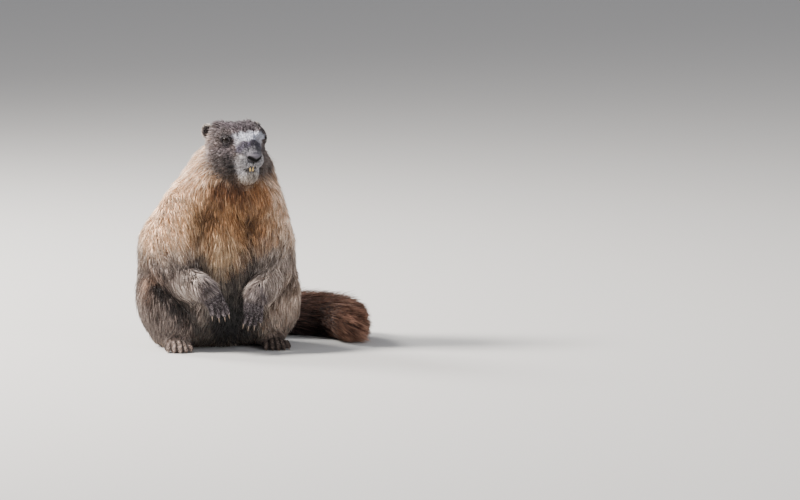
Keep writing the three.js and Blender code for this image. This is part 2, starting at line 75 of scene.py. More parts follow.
def make_camera():
    data = bpy.data.cameras.new("camera")
    camera = bpy.data.objects.new("camera", data)
    scene.collection.objects.link(camera)
    a = math.radians(CAMERA["azimuth"])
    e = math.radians(CAMERA["elevation"])
    back = Vector((math.sin(a) * math.cos(e), -math.cos(a) * math.cos(e), math.sin(e)))
    right = Vector((math.cos(a), math.sin(a), 0))
    up = back.cross(right)
    camera.location = right * PICTURE["right"] + up * PICTURE["up"] + back * CAMERA["distance"]
    camera.rotation_euler = (-back).to_track_quat("-Z", "Y").to_euler()
    data.sensor_width = SENSOR
    data.lens = SENSOR * CAMERA["distance"] / PICTURE["width"]
    data.clip_end = SIGHT
    scene.camera = camera


make_camera()


# Small tools


def array(*values):
    return np.array(values, float)


def smoothstep(low, high, x):
    t = np.clip((x - low) / (high - low), 0, 1)
    return t * t * (3 - 2 * t)


def unit(v):
    return v / np.maximum(np.linalg.norm(v, axis=-1, keepdims=True), 1e-9)


def middle(name):
    """The middle of a node's box, in millimetres."""
    low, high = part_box(name)
    return np.array((low + high) / 2) / MM


def nodes_of(*starts):
    return [n for n in nodes if n.startswith(starts)]


MIDLINE = 3  # where the halves of the body part, in millimetres to its left


def on_side(p, side):
    return np.sign(p[:, 0] - MIDLINE) == side


def distance(p, places):
    """How far each point is from the nearest of the places."""
    return np.min([np.linalg.norm(p - place, axis=1) for place in places], axis=0)


def linear(hex_colour):
    """An sRGB hex colour as linear red, green, blue."""
    parts = [int(hex_colour[i : i + 2], 16) / 255 for i in (1, 3, 5)]
    return [c / 12.92 if c <= 0.04045 else ((c + 0.055) / 1.055) ** 2.4 for c in parts]


def rgba(hex_colour):
    return (*linear(hex_colour), 1)


def new_object(name, mesh, material=None):
    made = bpy.data.objects.new(name, mesh)
    scene.collection.objects.link(made)
    if material:
        mesh.materials.append(material)
    return made


def round_faces(mesh):
    mesh.polygons.foreach_set("use_smooth", np.ones(len(mesh.polygons), bool))


def from_bmesh(name, bm, material=None):
    mesh = bpy.data.meshes.new(name)
    bm.to_mesh(mesh)
    bm.free()
    round_faces(mesh)
    return new_object(name, mesh, material)


def add_shell(whole, bm):
    """Moves one bmesh into another, and says how many faces it had."""
    shell = bpy.data.meshes.new("shell")
    bm.to_mesh(shell)
    bm.free()
    whole.from_mesh(shell)
    count = len(shell.polygons)
    bpy.data.meshes.remove(shell)
    return count


def read_all(items, key, width, kind=np.float32):
    """That many numbers of each item, as rows."""
    out = np.empty(len(items) * width, kind)
    items.foreach_get(key, out)
    return out.reshape(-1, width)


def write_all(items, key, values, kind=np.float32):
    items.foreach_set(key, np.asarray(values).astype(kind).ravel())


def points_of(mesh):
    return read_all(mesh.vertices, "co", 3).astype(float)


def normals_of(mesh):
    return read_all(mesh.vertex_normals, "vector", 3).astype(float)


def store_colours(mesh, colours):
    """One colour a point, which the materials read."""
    tint = mesh.color_attributes.new("coat", "FLOAT_COLOR", "POINT")
    write_all(tint.data, "color", np.concatenate([colours, np.ones((len(colours), 1))], 1))


def spread(values, edges, rounds, strength=0.5):
    """Each value drifts towards the mean of its neighbours along the edges, in so many rounds."""
    a, b = edges.T
    count = len(values)
    degree = np.maximum(np.bincount(a, minlength=count) + np.bincount(b, minlength=count), 1)
    out = np.array(values, float).reshape(count, -1)
    for _ in range(rounds):
        for k in range(out.shape[1]):
            column = out[:, k]
            total = np.bincount(a, column[b], count) + np.bincount(b, column[a], count)
            out[:, k] = column + strength * (total / degree - column)
    return out.reshape(np.shape(values))


# Materials


def add_node(tree, kind, inputs=None, **settings):
    made = tree.nodes.new(kind)
    for name, value in settings.items():
        setattr(made, name, value)
    for name, value in (inputs or {}).items():
        if isinstance(value, bpy.types.NodeSocket):
            tree.links.new(value, made.inputs[name])
        else:
            made.inputs[name].default_value = value
    return made


def new_material(name, **surface):
    material = bpy.data.materials.new(name)
    material.use_nodes = True
    shader = material.node_tree.nodes["Principled BSDF"]
    for socket, value in surface.items():
        shader.inputs[socket.replace("_", " ")].default_value = value
    return material, material.node_tree, shader


def grained(name, grain, relief, shades, noise=None, strength=0.5, **surface):
    """A surface with soft patches and a relief, both in millimetres. Its shades are two hex colours, or how
    far the patches darken and brighten the colour that is stored at each point."""
    material, tree, shader = new_material(name, **surface)
    place = add_node(tree, "ShaderNodeTexCoord")
    facts = {"Vector": place.outputs["Object"], "Scale": 1 / (grain * MM), "Detail": 4.0, **(noise or {})}
    patches = add_node(tree, "ShaderNodeTexNoise", facts).outputs["Fac"]
    if isinstance(shades, dict):
        own = add_node(tree, "ShaderNodeAttribute", attribute_name="coat")
        shade = add_node(tree, "ShaderNodeMapRange", {"Value": patches, **shades})
        facts = {0: own.outputs["Color"], "Scale": shade.outputs["Result"]}
        colour = add_node(tree, "ShaderNodeVectorMath", facts, operation="SCALE").outputs["Vector"]
    else:
        facts = {"Factor": patches, "A": rgba(shades[0]), "B": rgba(shades[1])}
        colour = add_node(tree, "ShaderNodeMix", facts, data_type="RGBA").outputs["Result"]
    tree.links.new(colour, shader.inputs["Base Color"])
    if relief:
        facts = {"Height": patches, "Strength": strength, "Distance": relief * MM}
        bump = add_node(tree, "ShaderNodeBump", facts)
        tree.links.new(bump.outputs["Normal"], shader.inputs["Normal"])
    return material


# Hair is dull, with a soft sheen along its edge. Its colour is each hair's own, and a fine grain of darker
# and paler strands breaks it. The grain is coarser than a real hair's, which wouldn't show.
STRANDS = {
    "shades": {"From Min": 0.3, "From Max": 0.7, "To Min": 0.78, "To Max": 1.2},
    "noise": {"Detail": 3.0, "Roughness": 0.6},
    "strength": 0.4,
    "Roughness": 0.75,
    "Specular_IOR_Level": 0.15,
    "Sheen_Weight": 0.12,
    "Sheen_Roughness": 0.4,
}
fur = grained("fur", 1.1, 0.3, **STRANDS)

# The nose's bare skin has stored colours too, and its pebbles are as fine and as dull as the hair round it.
nose_skin = grained("nose_skin", 0.8, 0.25, **STRANDS)

# Hide under the coat is matt, with the colours of the hair over it and a fine pebbled relief.
HIDE_SHADES = {"To Min": 0.7, "To Max": 1.2}
bare_hide = grained("hide", 1.2, 0.5, HIDE_SHADES, {"Detail": 2.0}, Roughness=0.8, Specular_IOR_Level=0.2)

# The wet eyeball is almost black brown, and its clear gloss gives one sharp glint.
EYE_BROWN = ("#050303", "#170e0a")
wet_eye = grained("wet_eye", 1.5, 0, EYE_BROWN, {"Detail": 3.0}, Roughness=0.07, Specular_IOR_Level=0.22)

# Lids are dull dark skin, lips are damp and darker. Enamel is yellow with a soft gloss, and claws are of
# horn, dark with paler streaks. Whiskers are stiff hair, a little glossier than the coat.
lid_skin = grained("lid_skin", 1.2, 0.15, ("#191416", "#332b2d"), Roughness=0.7)
lip_skin = grained("lip_skin", 1.5, 0.15, ("#0f0b0c", "#2a2021"), Roughness=0.4)
enamel = grained("enamel", 4.0, 0.05, ("#b8924f", "#d9c08a"), Roughness=0.25)
horn = grained("claw_horn", 3.0, 0.08, ("#5a4a40", "#a8927f"), Roughness=0.35)
whisker_hair = grained("whisker_hair", 4.0, 0.02, ("#2b2523", "#5b524e"), Roughness=0.5)


# Head frame, in millimetres: side to the animal's left, front to its nose, and up

eyes = {name: middle("eye_" + name) for name in SIDES}
HEAD_SIDE = unit((eyes["left"] - eyes["right"]) * array(1, 1, 0))
HEAD_FRONT = array(HEAD_SIDE[1], -HEAD_SIDE[0], 0)
HEAD_UP = array(0, 0, 1)
EYES = {"front": 22, "up": 14}
HEAD_AT = (eyes["left"] + eyes["right"]) / 2 - EYES["front"] * HEAD_FRONT - EYES["up"] * HEAD_UP
NOSE_AT = middle("nose")


def on_head(side, front, up):
    return HEAD_AT + side * HEAD_SIDE + front * HEAD_FRONT + up * HEAD_UP


def head_space(p):
    q = p - HEAD_AT
    return np.stack([q @ HEAD_SIDE, q @ HEAD_FRONT, q @ HEAD_UP], -1)


EYE_RADIUS = 6.4
EYE_OVAL = 1.35  # how much wider than high the eye's place in the fur is
GAZE = {"side": 0.70, "front": 0.71, "up": -0.02}
LID_OPENING = (48, 32)  # half the opening across and up, in degrees round the eyeball
MOUND = {"opening": 4.2, "height": 5.3, "slope": 0.85, "reach": 14, "behind": 6}


def eye_axes(side):
    """Where the eye looks, across it towards the ear, and up it."""
    gaze = unit(side * GAZE["side"] * HEAD_SIDE + GAZE["front"] * HEAD_FRONT + GAZE["up"] * HEAD_UP)
    across = unit(np.cross(HEAD_UP, gaze)) * -side
    return gaze, across, unit(np.cross(gaze, across)) * -side


# Tail: the line of its core on the floor, as in the solids

TAIL_STOPS = array((16, 78, 30), (62, 106, 29), (112, 104, 28), (156, 80, 28), (174, 38, 28), (173, 2, 28))
TAIL_RADIUS = 29  # to the tips of its hair
TAIL_CORE = 0.48  # share of that radius
TAIL_LENGTH = 250
TAIL_ROOT = {"radius": 0.68, "ends": 0.35}  # shares of the full radius and of the length
TAIL_POINT = {"starts": 0.62, "bluntness": 2.2}  # share of the length, and how late the tail draws in
TAIL_BENDS = np.array(cad_high) / MM - 2  # from here on its hair bends back along it
HAIR_REACH = 14  # how far it gets past there
TAIL_SWEEP = {"far": 0.45, "from": (0.45, 0.9), "way": (0.9, 0, -0.35)}  # outwards and down at its end
TAIL_STAND = 0.6  # how far its hair stands off, for each step along
TIP_HALF = {"stand": 0.35, "sweep": 1.2}  # of a tuft's outer half beside its inner half
ROUTE_STEPS = 200
STOP_STEPS = 40  # points of the curve from one stop to the next


def even_route(stops, count):
    """Points at even spaces on a smooth curve through the stops."""
    padded = np.vstack([2 * stops[0] - stops[1], stops, 2 * stops[-1] - stops[-2]])
    curve = []
    for i in range(len(stops) - 1):
        a, b, c, d = padded[i : i + 4]
        for t in np.linspace(0, 1, STOP_STEPS, endpoint=False):
            cubic = (3 * b - a - 3 * c + d) * t**3 + (2 * a - 5 * b + 4 * c - d) * t**2
            curve.append((cubic + (c - a) * t + 2 * b) / 2)
    curve = np.array(curve + [stops[-1]])
    far = np.concatenate([[0], np.cumsum(np.linalg.norm(np.diff(curve, axis=0), axis=1))])
    even = np.linspace(0, far[-1], count)
    return np.stack([np.interp(even, far, curve[:, k]) for k in range(3)], -1)


tail_line = even_route(TAIL_STOPS, ROUTE_STEPS)
tail_along = unit(np.gradient(tail_line, axis=0))


def tail_radius(share):
    root = TAIL_ROOT["radius"] + (1 - TAIL_ROOT["radius"]) * np.minimum(share / TAIL_ROOT["ends"], 1)
    past = np.maximum(share - TAIL_POINT["starts"], 0) / (1 - TAIL_POINT["starts"])
    return TAIL_RADIUS * root * np.sqrt(np.maximum(1 - past ** TAIL_POINT["bluntness"], 0))


def laid_along(line, radius_at, sides=8, cuts=12):
    """A round bar that follows a line of points in millimetres, closed at both ends."""
    bm = bmesh.new()
    bmesh.ops.create_cone(bm, cap_ends=True, segments=sides, radius1=1, radius2=1, depth=1)
    long_edges = [e for e in bm.edges if abs(e.verts[0].co.z - e.verts[1].co.z) > 0.5]
    bmesh.ops.subdivide_edges(bm, edges=long_edges, cuts=cuts, use_grid_fill=True)
    line = even_route(array(*line), ROUTE_STEPS)
    along = unit(np.gradient(line, axis=0))
    for v in bm.verts:
        share = v.co.z + 0.5
        i = round(share * (ROUTE_STEPS - 1))
        across = unit(np.cross(along[i], HEAD_UP + 0.01 * HEAD_FRONT))
        over = np.cross(across, along[i])
        radius = radius_at(share)
        v.co = Vector((line[i] + radius * (across * v.co.x + over * v.co.y)) * MM)
    bmesh.ops.recalc_face_normals(bm, faces=bm.faces)
    return bm


CORE_END = {"share": 0.9, "least": 0.02}  # where the core rounds off, and its least width, squared


def tail_core():
    def radius(share):
        past = max((share - CORE_END["share"]) / (1 - CORE_END["share"]), 0)
        end = math.sqrt(max(1 - past**2, CORE_END["least"]))
        return TAIL_CORE * float(tail_radius(CORE_END["share"] * share)) * end

    return laid_along(TAIL_STOPS, radius, 24, 40)


# Regions of the coat. Lengths are in millimetres: how deep the skin lies under the solids, how far the hair's
# tips stand above the skin, how long and wide a tuft is, and how many tufts grow on a square millimetre.

GROWTH = ("inset", "rise", "length", "width", "crowd")
REGIONS = {
    "head": (3, 3, 10, 1.2, 0.8),
    "neck": (8, 8.5, 27, 1.4, 0.58),
    "torso": (8, 8.5, 26, 1.4, 0.52),
    "upper_arm": (7.5, 8, 23, 1.35, 0.56),
    "forearm": (4, 4.5, 13, 1.2, 0.75),
    "thigh": (7.5, 8, 22, 1.35, 0.56),
    "shank": (3, 3, 10, 1.2, 0.6),
    "tail": (0, 14, 41, 1.1, 1.15),
    "hand": (0.6, 0.6, 2.4, 0.5, 2.3),
    "foot": (0.6, 0.6, 2.4, 0.5, 2.3),
    "ear": (0.3, 1.8, 5, 0.7, 1.8),
}
REGION_NAMES = list(REGIONS)
PAWS = ("hand", "foot")
FLESH = {"head": ("head", "nose"), "neck": ("neck",), "torso": ("torso",), "tail": ()}  # the others are pairs
BRIDGE = 0.45  # how far each node of flesh swells, to close the thin cuts between them
WELD = 0.002  # corners nearer than this are one
SKIN_SHADE_UNDER_COAT = 0.5  # how bright the skin is beside its hair: painted shade under the coat
SKIN_LIFT = 0.6  # the skin stays this far over the floor
PAD_BED = 5  # how deep the skin lies behind the nose pad


def gather_flesh(regions):
    """Flesh as one bmesh of closed shells that just run into one another, with each face's region."""
    whole = bmesh.new()
    face_regions = []
    for region in regions:
        index = REGION_NAMES.index(region)
        shells = []
        for name in FLESH.get(region, [region + "_" + side for side in SIDES]):
            bm = bmesh.new()
            bm.from_mesh(nodes[name].data)
            shells.append(bm)
        if region == "tail":
            shells.append(tail_core())
        for bm in shells:
            bmesh.ops.remove_doubles(bm, verts=bm.verts, dist=WELD * MM)
            bm.normal_update()
            for v in bm.verts:
                v.co += v.normal * BRIDGE * MM
            face_regions += [index] * add_shell(whole, bm)
    return whole, np.array(face_regions)


def remeshed(bm, voxel):
    """The outside of all shells as one even mesh."""
    rough = from_bmesh("flesh", bm)
    step = rough.modifiers.new("one_skin", "REMESH")
    step.mode = "VOXEL"
    step.voxel_size = voxel * MM
    graph = bpy.context.evaluated_depsgraph_get()
    mesh = bpy.data.meshes.new_from_object(rough.evaluated_get(graph))
    bpy.data.objects.remove(rough)
    return mesh


def set_points(mesh, place):
    write_all(mesh.vertices, "co", place)
    mesh.update()


# Creases between the forms of the body: stops across and up the front in millimetres, depth and half-width.
# The coat is painted darker in them, as painted shade.

CREASES = {
    "right_arm_inside": (((-30, 176), (-40, 140), (-36, 108), (-26, 84)), 7, 9),
    "left_arm_inside": (((30, 170), (30, 140), (36, 104), (24, 78)), 7, 9),
    "right_arm_outside": (((-104, 98), (-84, 74), (-54, 56), (-38, 26)), 10, 9),
    "left_arm_outside": (((98, 100), (76, 84), (58, 66), (42, 34)), 8, 8),
    "between_thighs": (((6, 50), (6, 8)), 8, 26),
}
CREASE_PAINTED_SHADE = 0.72  # how much of the coat's brightness the painted shade in a crease takes
CREASE_TIPS_SHADED = 0.7  # how many of the pale tips the painted shade dulls there
CREASE_SHADE = 1.35  # how much wider the painted shade is than the crease
FORWARD = (-0.1, 0.35)  # how far forwards the skin faces where a crease begins to show, and where it is full


def along_line(p, a, b):
    """How far along the line from a to b each point lies, as a share, and how far from it."""
    share = np.clip((p - a) @ (b - a) / ((b - a) @ (b - a)), 0, 1)
    return share, np.linalg.norm(p - a - share[..., None] * (b - a), axis=-1)


def near_crease(p, normal):
    """How deep the skin sinks at each point, and how much painted shade the coat gets there."""
    depth = np.zeros(len(p))
    dark = np.zeros(len(p))
    front = smoothstep(*FORWARD, -normal[:, 1])
    flat = p[:, [0, 2]]
    for stops, deep, width in CREASES.values():
        far = np.full(len(p), 1e3)
        for a, b in zip(array(*stops)[:-1], array(*stops)[1:]):
            far = np.minimum(far, along_line(flat, a, b)[1])
        depth = np.maximum(depth, deep * front * np.exp(-((far / width) ** 2)))
        dark = np.maximum(dark, front * np.exp(-((far / width / CREASE_SHADE) ** 2)))
    return depth, dark


BLENDED = {"voxel": 1.78, "ease": 5, "blend": 14}  # millimetres, and rounds of smoothing of shape and regions
FINE = {"voxel": 0.8, "ease": 2, "blend": 4}
FINEST = {"voxel": 0.6, "ease": 3, "blend": 1}
UNWRAP = {"angle_limit": math.radians(66), "island_margin": 0.002}


class Hide:
    """A skin's mesh, with what each of its points knows about the coat on it. Places are in millimetres."""

    def __init__(self, regions, voxel, ease, blend):
        whole, face_regions = gather_flesh(regions)
        search = BVHTree.FromBMesh(whole)
        self.mesh = remeshed(whole, voxel)
        self.edges = read_all(self.mesh.edges, "vertices", 2, np.int32)
        outer = points_of(self.mesh)
        nearest = [search.find_nearest(Vector(p))[2] for p in outer]
        share = np.eye(len(REGION_NAMES))[face_regions[nearest]]
        self.share = spread(share, self.edges, blend)
        self.outer = spread(outer / MM, self.edges, ease)
        set_points(self.mesh, self.outer * MM)
        self.normal = unit(spread(normals_of(self.mesh), self.edges, ease))
        self.dark = np.zeros(len(self.outer))
        growth = self.share @ array(*REGIONS.values())
        self.growth = {k: growth[:, i] for i, k in enumerate(GROWTH)}

    def of(self, region):
        return self.share[:, REGION_NAMES.index(region)]

    def along(self, aims):
        return unit(aims - self.normal * np.sum(aims * self.normal, axis=1, keepdims=True))

    def change(self, weight, values):
        """The coat takes these measures, as far as the weight says."""
        for k, value in values.items():
            self.growth[k] = self.growth[k] + weight * (value - self.growth[k])

    def lay(self, place):
        """The skin's last place, and its normal there."""
        self.place = place
        self.place[:, 2] = np.maximum(self.place[:, 2], SKIN_LIFT)
        set_points(self.mesh, self.place * MM)
        self.normal = unit(spread(normals_of(self.mesh), self.edges, 2))

    def shade(self):
        """Some skins have painted light and shade of their own."""

    def finish(self, name, slot, material):
        """Unwraps the skin, paints it and lets the tufts find it."""
        skin = new_object(name, self.mesh, material)
        round_faces(self.mesh)
        self.mesh.uv_layers.new(name="OFBake")
        bpy.context.view_layer.objects.active = skin
        skin.select_set(True)
        bpy.ops.object.mode_set(mode="EDIT")
        bpy.ops.mesh.select_all(action="SELECT")
        bpy.ops.uv.smart_project(**UNWRAP)
        bpy.ops.object.mode_set(mode="OBJECT")
        skin.select_set(False)
        self.uv = read_all(self.mesh.uv_layers["OFBake"].uv, "vector", 2)
        self.paint = painted(self.place, self.of)
        # Painted shade in the creases: darker hair and fewer pale tips.
        self.paint[:, :3] *= 1 - CREASE_PAINTED_SHADE * self.dark[:, None]
        self.paint[:, 6] *= 1 - CREASE_TIPS_SHADED * self.dark
        self.shade()
        store_colours(self.mesh, self.paint[:, :3] * SKIN_SHADE_UNDER_COAT)
        polygons = [tuple(p.vertices) for p in self.mesh.polygons]
        self.search = BVHTree.FromPolygons([Vector(p) for p in self.place], polygons)
        self.faces = np.array([p[0] for p in polygons])
        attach(skin, "root")
        return skin


# The coat at certain places, in the same measures as the regions. Spans are distances in millimetres.

AT_PAWS = {"inset": 2.2, "rise": 3.2, "length": 9, "width": 0.9}
SLEEVE = {"rise": 8, "length": 21, "width": 1.35, "crowd": 0.6}
AT_NOSE = {"inset": 1, "rise": 1.2, "length": 3.2, "width": 0.65, "crowd": 1.9}
MORE_BEHIND = {"inset": 6, "rise": 6, "length": 15, "width": 0.8, "crowd": -1.4}
AT_EYES = {"inset": 0.8, "rise": 0.8, "length": 2.6, "width": 0.55, "crowd": 2.2}
AT_EARS = {"inset": 1.8, "rise": 1.8, "length": 5.5, "width": 0.85, "crowd": 1.2}
CHIN_TUFT = {"place": ((0, 30, -38), (20, 22, 14), 0.5), "rise": 2, "length": 2}
CROWN_TUFT = {"place": ((0, -8, 34), (20, 34, 14), 0.6), "rise": 0.6}
SPANS = {"sleeve": (24, 44), "face": (16, 80), "eye": (8, 20), "ear": (12, 26)}  # from hand, nose, eye, ear
PAD = ((0, 54, -10), (9, 9, 6), 0.35)  # the nose pad's place on the head


class BodyHide(Hide):
    """One skin over the flesh and the core of the tail. It runs on inside the finer skin of the paws."""

    def __init__(self):
        super().__init__([r for r in REGIONS if r != "ear"], **BLENDED)
        paws = self.of("hand") + self.of("foot")
        self.growth["crowd"] = np.where(paws > 0.75, 0, self.growth["crowd"] * (1 - 0.5 * paws))
        self.change(paws, AT_PAWS)
        self.lengthen_sleeves()
        self.shorten_on_face()
        self.settle()
        self.comb()

    def lengthen_sleeves(self):
        """The fur of the upper arm runs on over the elbow to the wrist."""
        at_hand = distance(self.outer, [middle("hand_" + n) for n in SIDES])
        self.sleeve = self.of("forearm") * smoothstep(*SPANS["sleeve"], at_hand)
        self.change(self.sleeve, SLEEVE)

    def shorten_on_face(self):
        """The coat is shortest at the nose and eyes, and long under the chin."""
        at_head = head_space(self.outer)
        back = smoothstep(*SPANS["face"], distance(self.outer, [NOSE_AT]))
        near_eye = 1 - smoothstep(*SPANS["eye"], distance(self.outer, eyes.values()))
        near_ear = 1 - smoothstep(*SPANS["ear"], distance(self.outer, [middle("ear_" + n) for n in SIDES]))
        face = {k: AT_NOSE[k] + MORE_BEHIND[k] * back for k in GROWTH}
        for tuft in (CHIN_TUFT, CROWN_TUFT):
            here = mark_weight(at_head, *tuft["place"])[:, 0]
            for k in GROWTH:
                face[k] = face[k] + tuft.get(k, 0) * here
        for k, usual in zip(GROWTH, REGIONS["head"]):
            own = face[k] * (1 - near_eye) + AT_EYES[k] * near_eye
            own = own * (1 - near_ear) + AT_EARS[k] * near_ear
            self.growth[k] = self.growth[k] + self.of("head") * (own - usual)

    def settle(self):
        """The skin sinks below the solids by the coat's depth."""
        trunk = 1 - self.of("head") - self.of("hand") - self.of("foot") - self.of("forearm") - self.of("tail")
        trunk = np.clip(trunk, 0, 1)
        # On the trunk the creases get painted shade as well as depth.
        depth, dark = near_crease(self.outer, self.normal)
        self.dark = dark * trunk
        inset = spread(self.growth["inset"] + depth * trunk, self.edges, 10)
        self.place = self.outer - self.normal * inset[:, None]
        eased = spread(self.place, self.edges, 8)
        self.place += (eased - self.place) * np.clip(1 - self.of("head"), 0, 1)[:, None]
        for name, side in SIDES.items():
            self.mound(eyes[name], *eye_axes(side))
        at_pad = mark_weight(head_space(self.place), *PAD)
        self.lay(self.place - PAD_BED * at_pad * HEAD_FRONT)

    def mound(self, eye, gaze, across, up):
        """The skin rises round the eyeball, so that the eye is sunk between its lids."""
        q = self.place - eye
        far = np.hypot((q @ across) / EYE_OVAL, q @ up)
        top = MOUND["height"] - MOUND["slope"] * (far - MOUND["opening"])
        near = (q @ gaze > -MOUND["behind"]) & (far < MOUND["reach"])
        lift = np.where(near & (far > MOUND["opening"]), np.maximum(top - q @ gaze, 0), 0)
        sink = np.where(near & (far <= MOUND["opening"]), np.minimum(1 - q @ gaze, 0), 0)
        self.place += (lift + sink)[:, None] * gaze

    def comb(self):
        """The way that the hair lies at each point, along the skin."""
        aims = np.zeros_like(self.place)
        p = self.place
        behind = smoothstep(-20, 60, p[:, 1])[:, None]
        lies = {
            "head": unit(p - NOSE_AT) + array(0, 0, -0.3),
            "neck": unit(p - HEAD_AT) * 0.5 + array(0, 0.1, -1),
            "torso": array(0, 0, -1) + behind * array(0, 0.2, 0) + p * array(0.003, 0, 0),
            "tail": tail_along[self.nearest_tail(p)],
        }
        for region, aim in lies.items():
            aims += self.of(region)[:, None] * unit(aim)
        aims += 1.5 * self.sleeve[:, None] * array(0, -0.2, -1)
        for name, side in SIDES.items():
            here = on_side(p, side)[:, None]
            limb = {
                "upper_arm": middle("forearm_" + name) - middle("upper_arm_" + name) + array(0, 0, -30),
                "forearm": middle("hand_" + name) - middle("forearm_" + name),
                "thigh": array(side * 0.1, 0.2, -1),
                "shank": array(0, -0.5, -0.5),
                "hand": middle("hand_" + name) - middle("forearm_" + name),
                "foot": array(0, -1, 0),
            }
            for region, aim in limb.items():
                aims += here * self.of(region)[:, None] * unit(aim)
        self.lie = self.along(spread(self.along(aims), self.edges, 30))

    def nearest_tail(self, p):
        tree = KDTree(ROUTE_STEPS)
        for i, spot_on_line in enumerate(tail_line):
            tree.insert(Vector(spot_on_line), i)
        tree.balance()
        return np.array([tree.find(Vector(q))[1] for q in p])


SLEEVE_END = {"inset": 0.9, "length": 4, "crowd": -2.2}  # added to the coat of the paws near the limb
SLEEVE_FROM = (6, 15)  # from the paw's middle up the limb
NARROWING = 0.75  # width of the row of knuckles beside that of the claws
DIGIT_LIGHT_AND_SHADE = {"pale": 0.6, "dark": 1.35, "edge": (0.15, 0.45), "ends": (0.6, 1)}  # painted light along the fingers and toes, and painted shade between them
DIGITS = {"hand": ("fore_claw_", "forearm_"), "foot": ("hind_claw_", "shank_")}


class PawHide(Hide):
    """Finer skin of the hands and feet, with every finger and toe apart."""

    def __init__(self):
        super().__init__(PAWS, **FINE)
        aims = np.zeros_like(self.outer)
        for name, side in SIDES.items():
            here = on_side(self.outer, side)
            for paw, (claw, limb) in DIGITS.items():
                at = middle(paw + "_" + name)
                own = here * self.of(paw)
                claws = np.mean([middle(n) for n in nodes_of(claw + name)], axis=0)
                aims += own[:, None] * unit(claws - at)
                up_limb = (self.outer - at) @ unit(middle(limb + name) - at)
                for k, more in SLEEVE_END.items():
                    self.growth[k] = self.growth[k] + more * (own * smoothstep(*SLEEVE_FROM, up_limb))
        self.lay(self.outer - self.normal * self.growth["inset"][:, None])
        self.lie = self.along(spread(self.along(aims), self.edges, 6))

    def shade(self):
        """Painted light along each finger and toe, and painted shade between them."""
        p = self.place
        for paw, (claw, limb) in DIGITS.items():
            for name, side in SIDES.items():
                tips = array(*[middle(n) for n in nodes_of(claw + name)])
                knuckles = middle(paw + "_" + name) + NARROWING * (tips - tips.mean(axis=0))
                gap = np.linalg.norm(tips[-1] - tips[0]) / (len(tips) - 1)
                row = unit(tips[-1] - tips[0])
                near = np.full(len(p), 9.0)
                back = np.zeros(len(p))
                for tip, way in zip(tips, knuckles - tips):
                    share = np.clip((p - tip) @ way / (way @ way), 0, 1)
                    aside = np.abs((p - tip - share[:, None] * way) @ row)
                    aside /= gap * (1 - (1 - NARROWING) * share)
                    back = np.where(aside < near, share, back)
                    near = np.minimum(near, aside)
                own = self.of(paw) * on_side(p, side) * (1 - smoothstep(*DIGIT_LIGHT_AND_SHADE["ends"], back))
                lit = DIGIT_LIGHT_AND_SHADE["pale"] - DIGIT_LIGHT_AND_SHADE["dark"] * smoothstep(*DIGIT_LIGHT_AND_SHADE["edge"], near)
                self.paint[:, :6] *= (1 + own * lit)[:, None]


EAR_RIM = ("#a39a91", "#d6cec5", 0.6)
# The cup's colour is painted shade inside the ear.
EAR_CUP_SHADE = ("#2b2424", "#5a504c", 0.2)
EAR_SIZE = {"across": 7, "up": 8.5}
EAR_AIM = {"side": 0.5, "front": 0.85}  # where its cup opens
EAR_ROOT = {"side": 4, "up": 6, "front": 2}  # from its middle inwards, down and forwards


class EarHide(Hide):
    """Fine skin of both ears, each a cup that opens forwards and outwards."""

    def __init__(self):
        super().__init__(("ear",), **FINEST)
        self.lay(self.outer - self.normal * self.growth["inset"][:, None])
        aims = np.zeros_like(self.outer)
        self.rim = np.zeros(len(self.outer))
        self.cup = np.zeros(len(self.outer))
        for name, side in SIDES.items():
            at = middle("ear_" + name)
            here = np.sign(head_space(self.place)[:, 0]) == side
            open_to = unit(side * EAR_AIM["side"] * HEAD_SIDE + EAR_AIM["front"] * HEAD_FRONT)
            root = at - side * EAR_ROOT["side"] * HEAD_SIDE - EAR_ROOT["up"] * HEAD_UP
            root += EAR_ROOT["front"] * HEAD_FRONT
            aims += here[:, None] * unit(self.place - root)
            q = self.place - at
            flat = q - (q @ open_to)[:, None] * open_to
            across = flat @ unit(np.cross(open_to, HEAD_UP)) / EAR_SIZE["across"]
            far = np.hypot(across, flat @ HEAD_UP / EAR_SIZE["up"])
            self.rim += here * smoothstep(0.7, 0.95, far)
            # painted shade inside the cup, away from the rim
            self.cup += here * smoothstep(0.2, 0.6, self.normal @ open_to) * (1 - smoothstep(0.6, 0.85, far))
        self.lie = self.along(aims)

    def shade(self):
        """Pale along the rim, and painted shade inside the cup."""
        for weight, look in ((self.rim, EAR_RIM), (self.cup, EAR_CUP_SHADE)):
            own, tip, pale = look
            self.paint += weight[:, None] * (array(*linear(own), *linear(tip), pale) - self.paint)
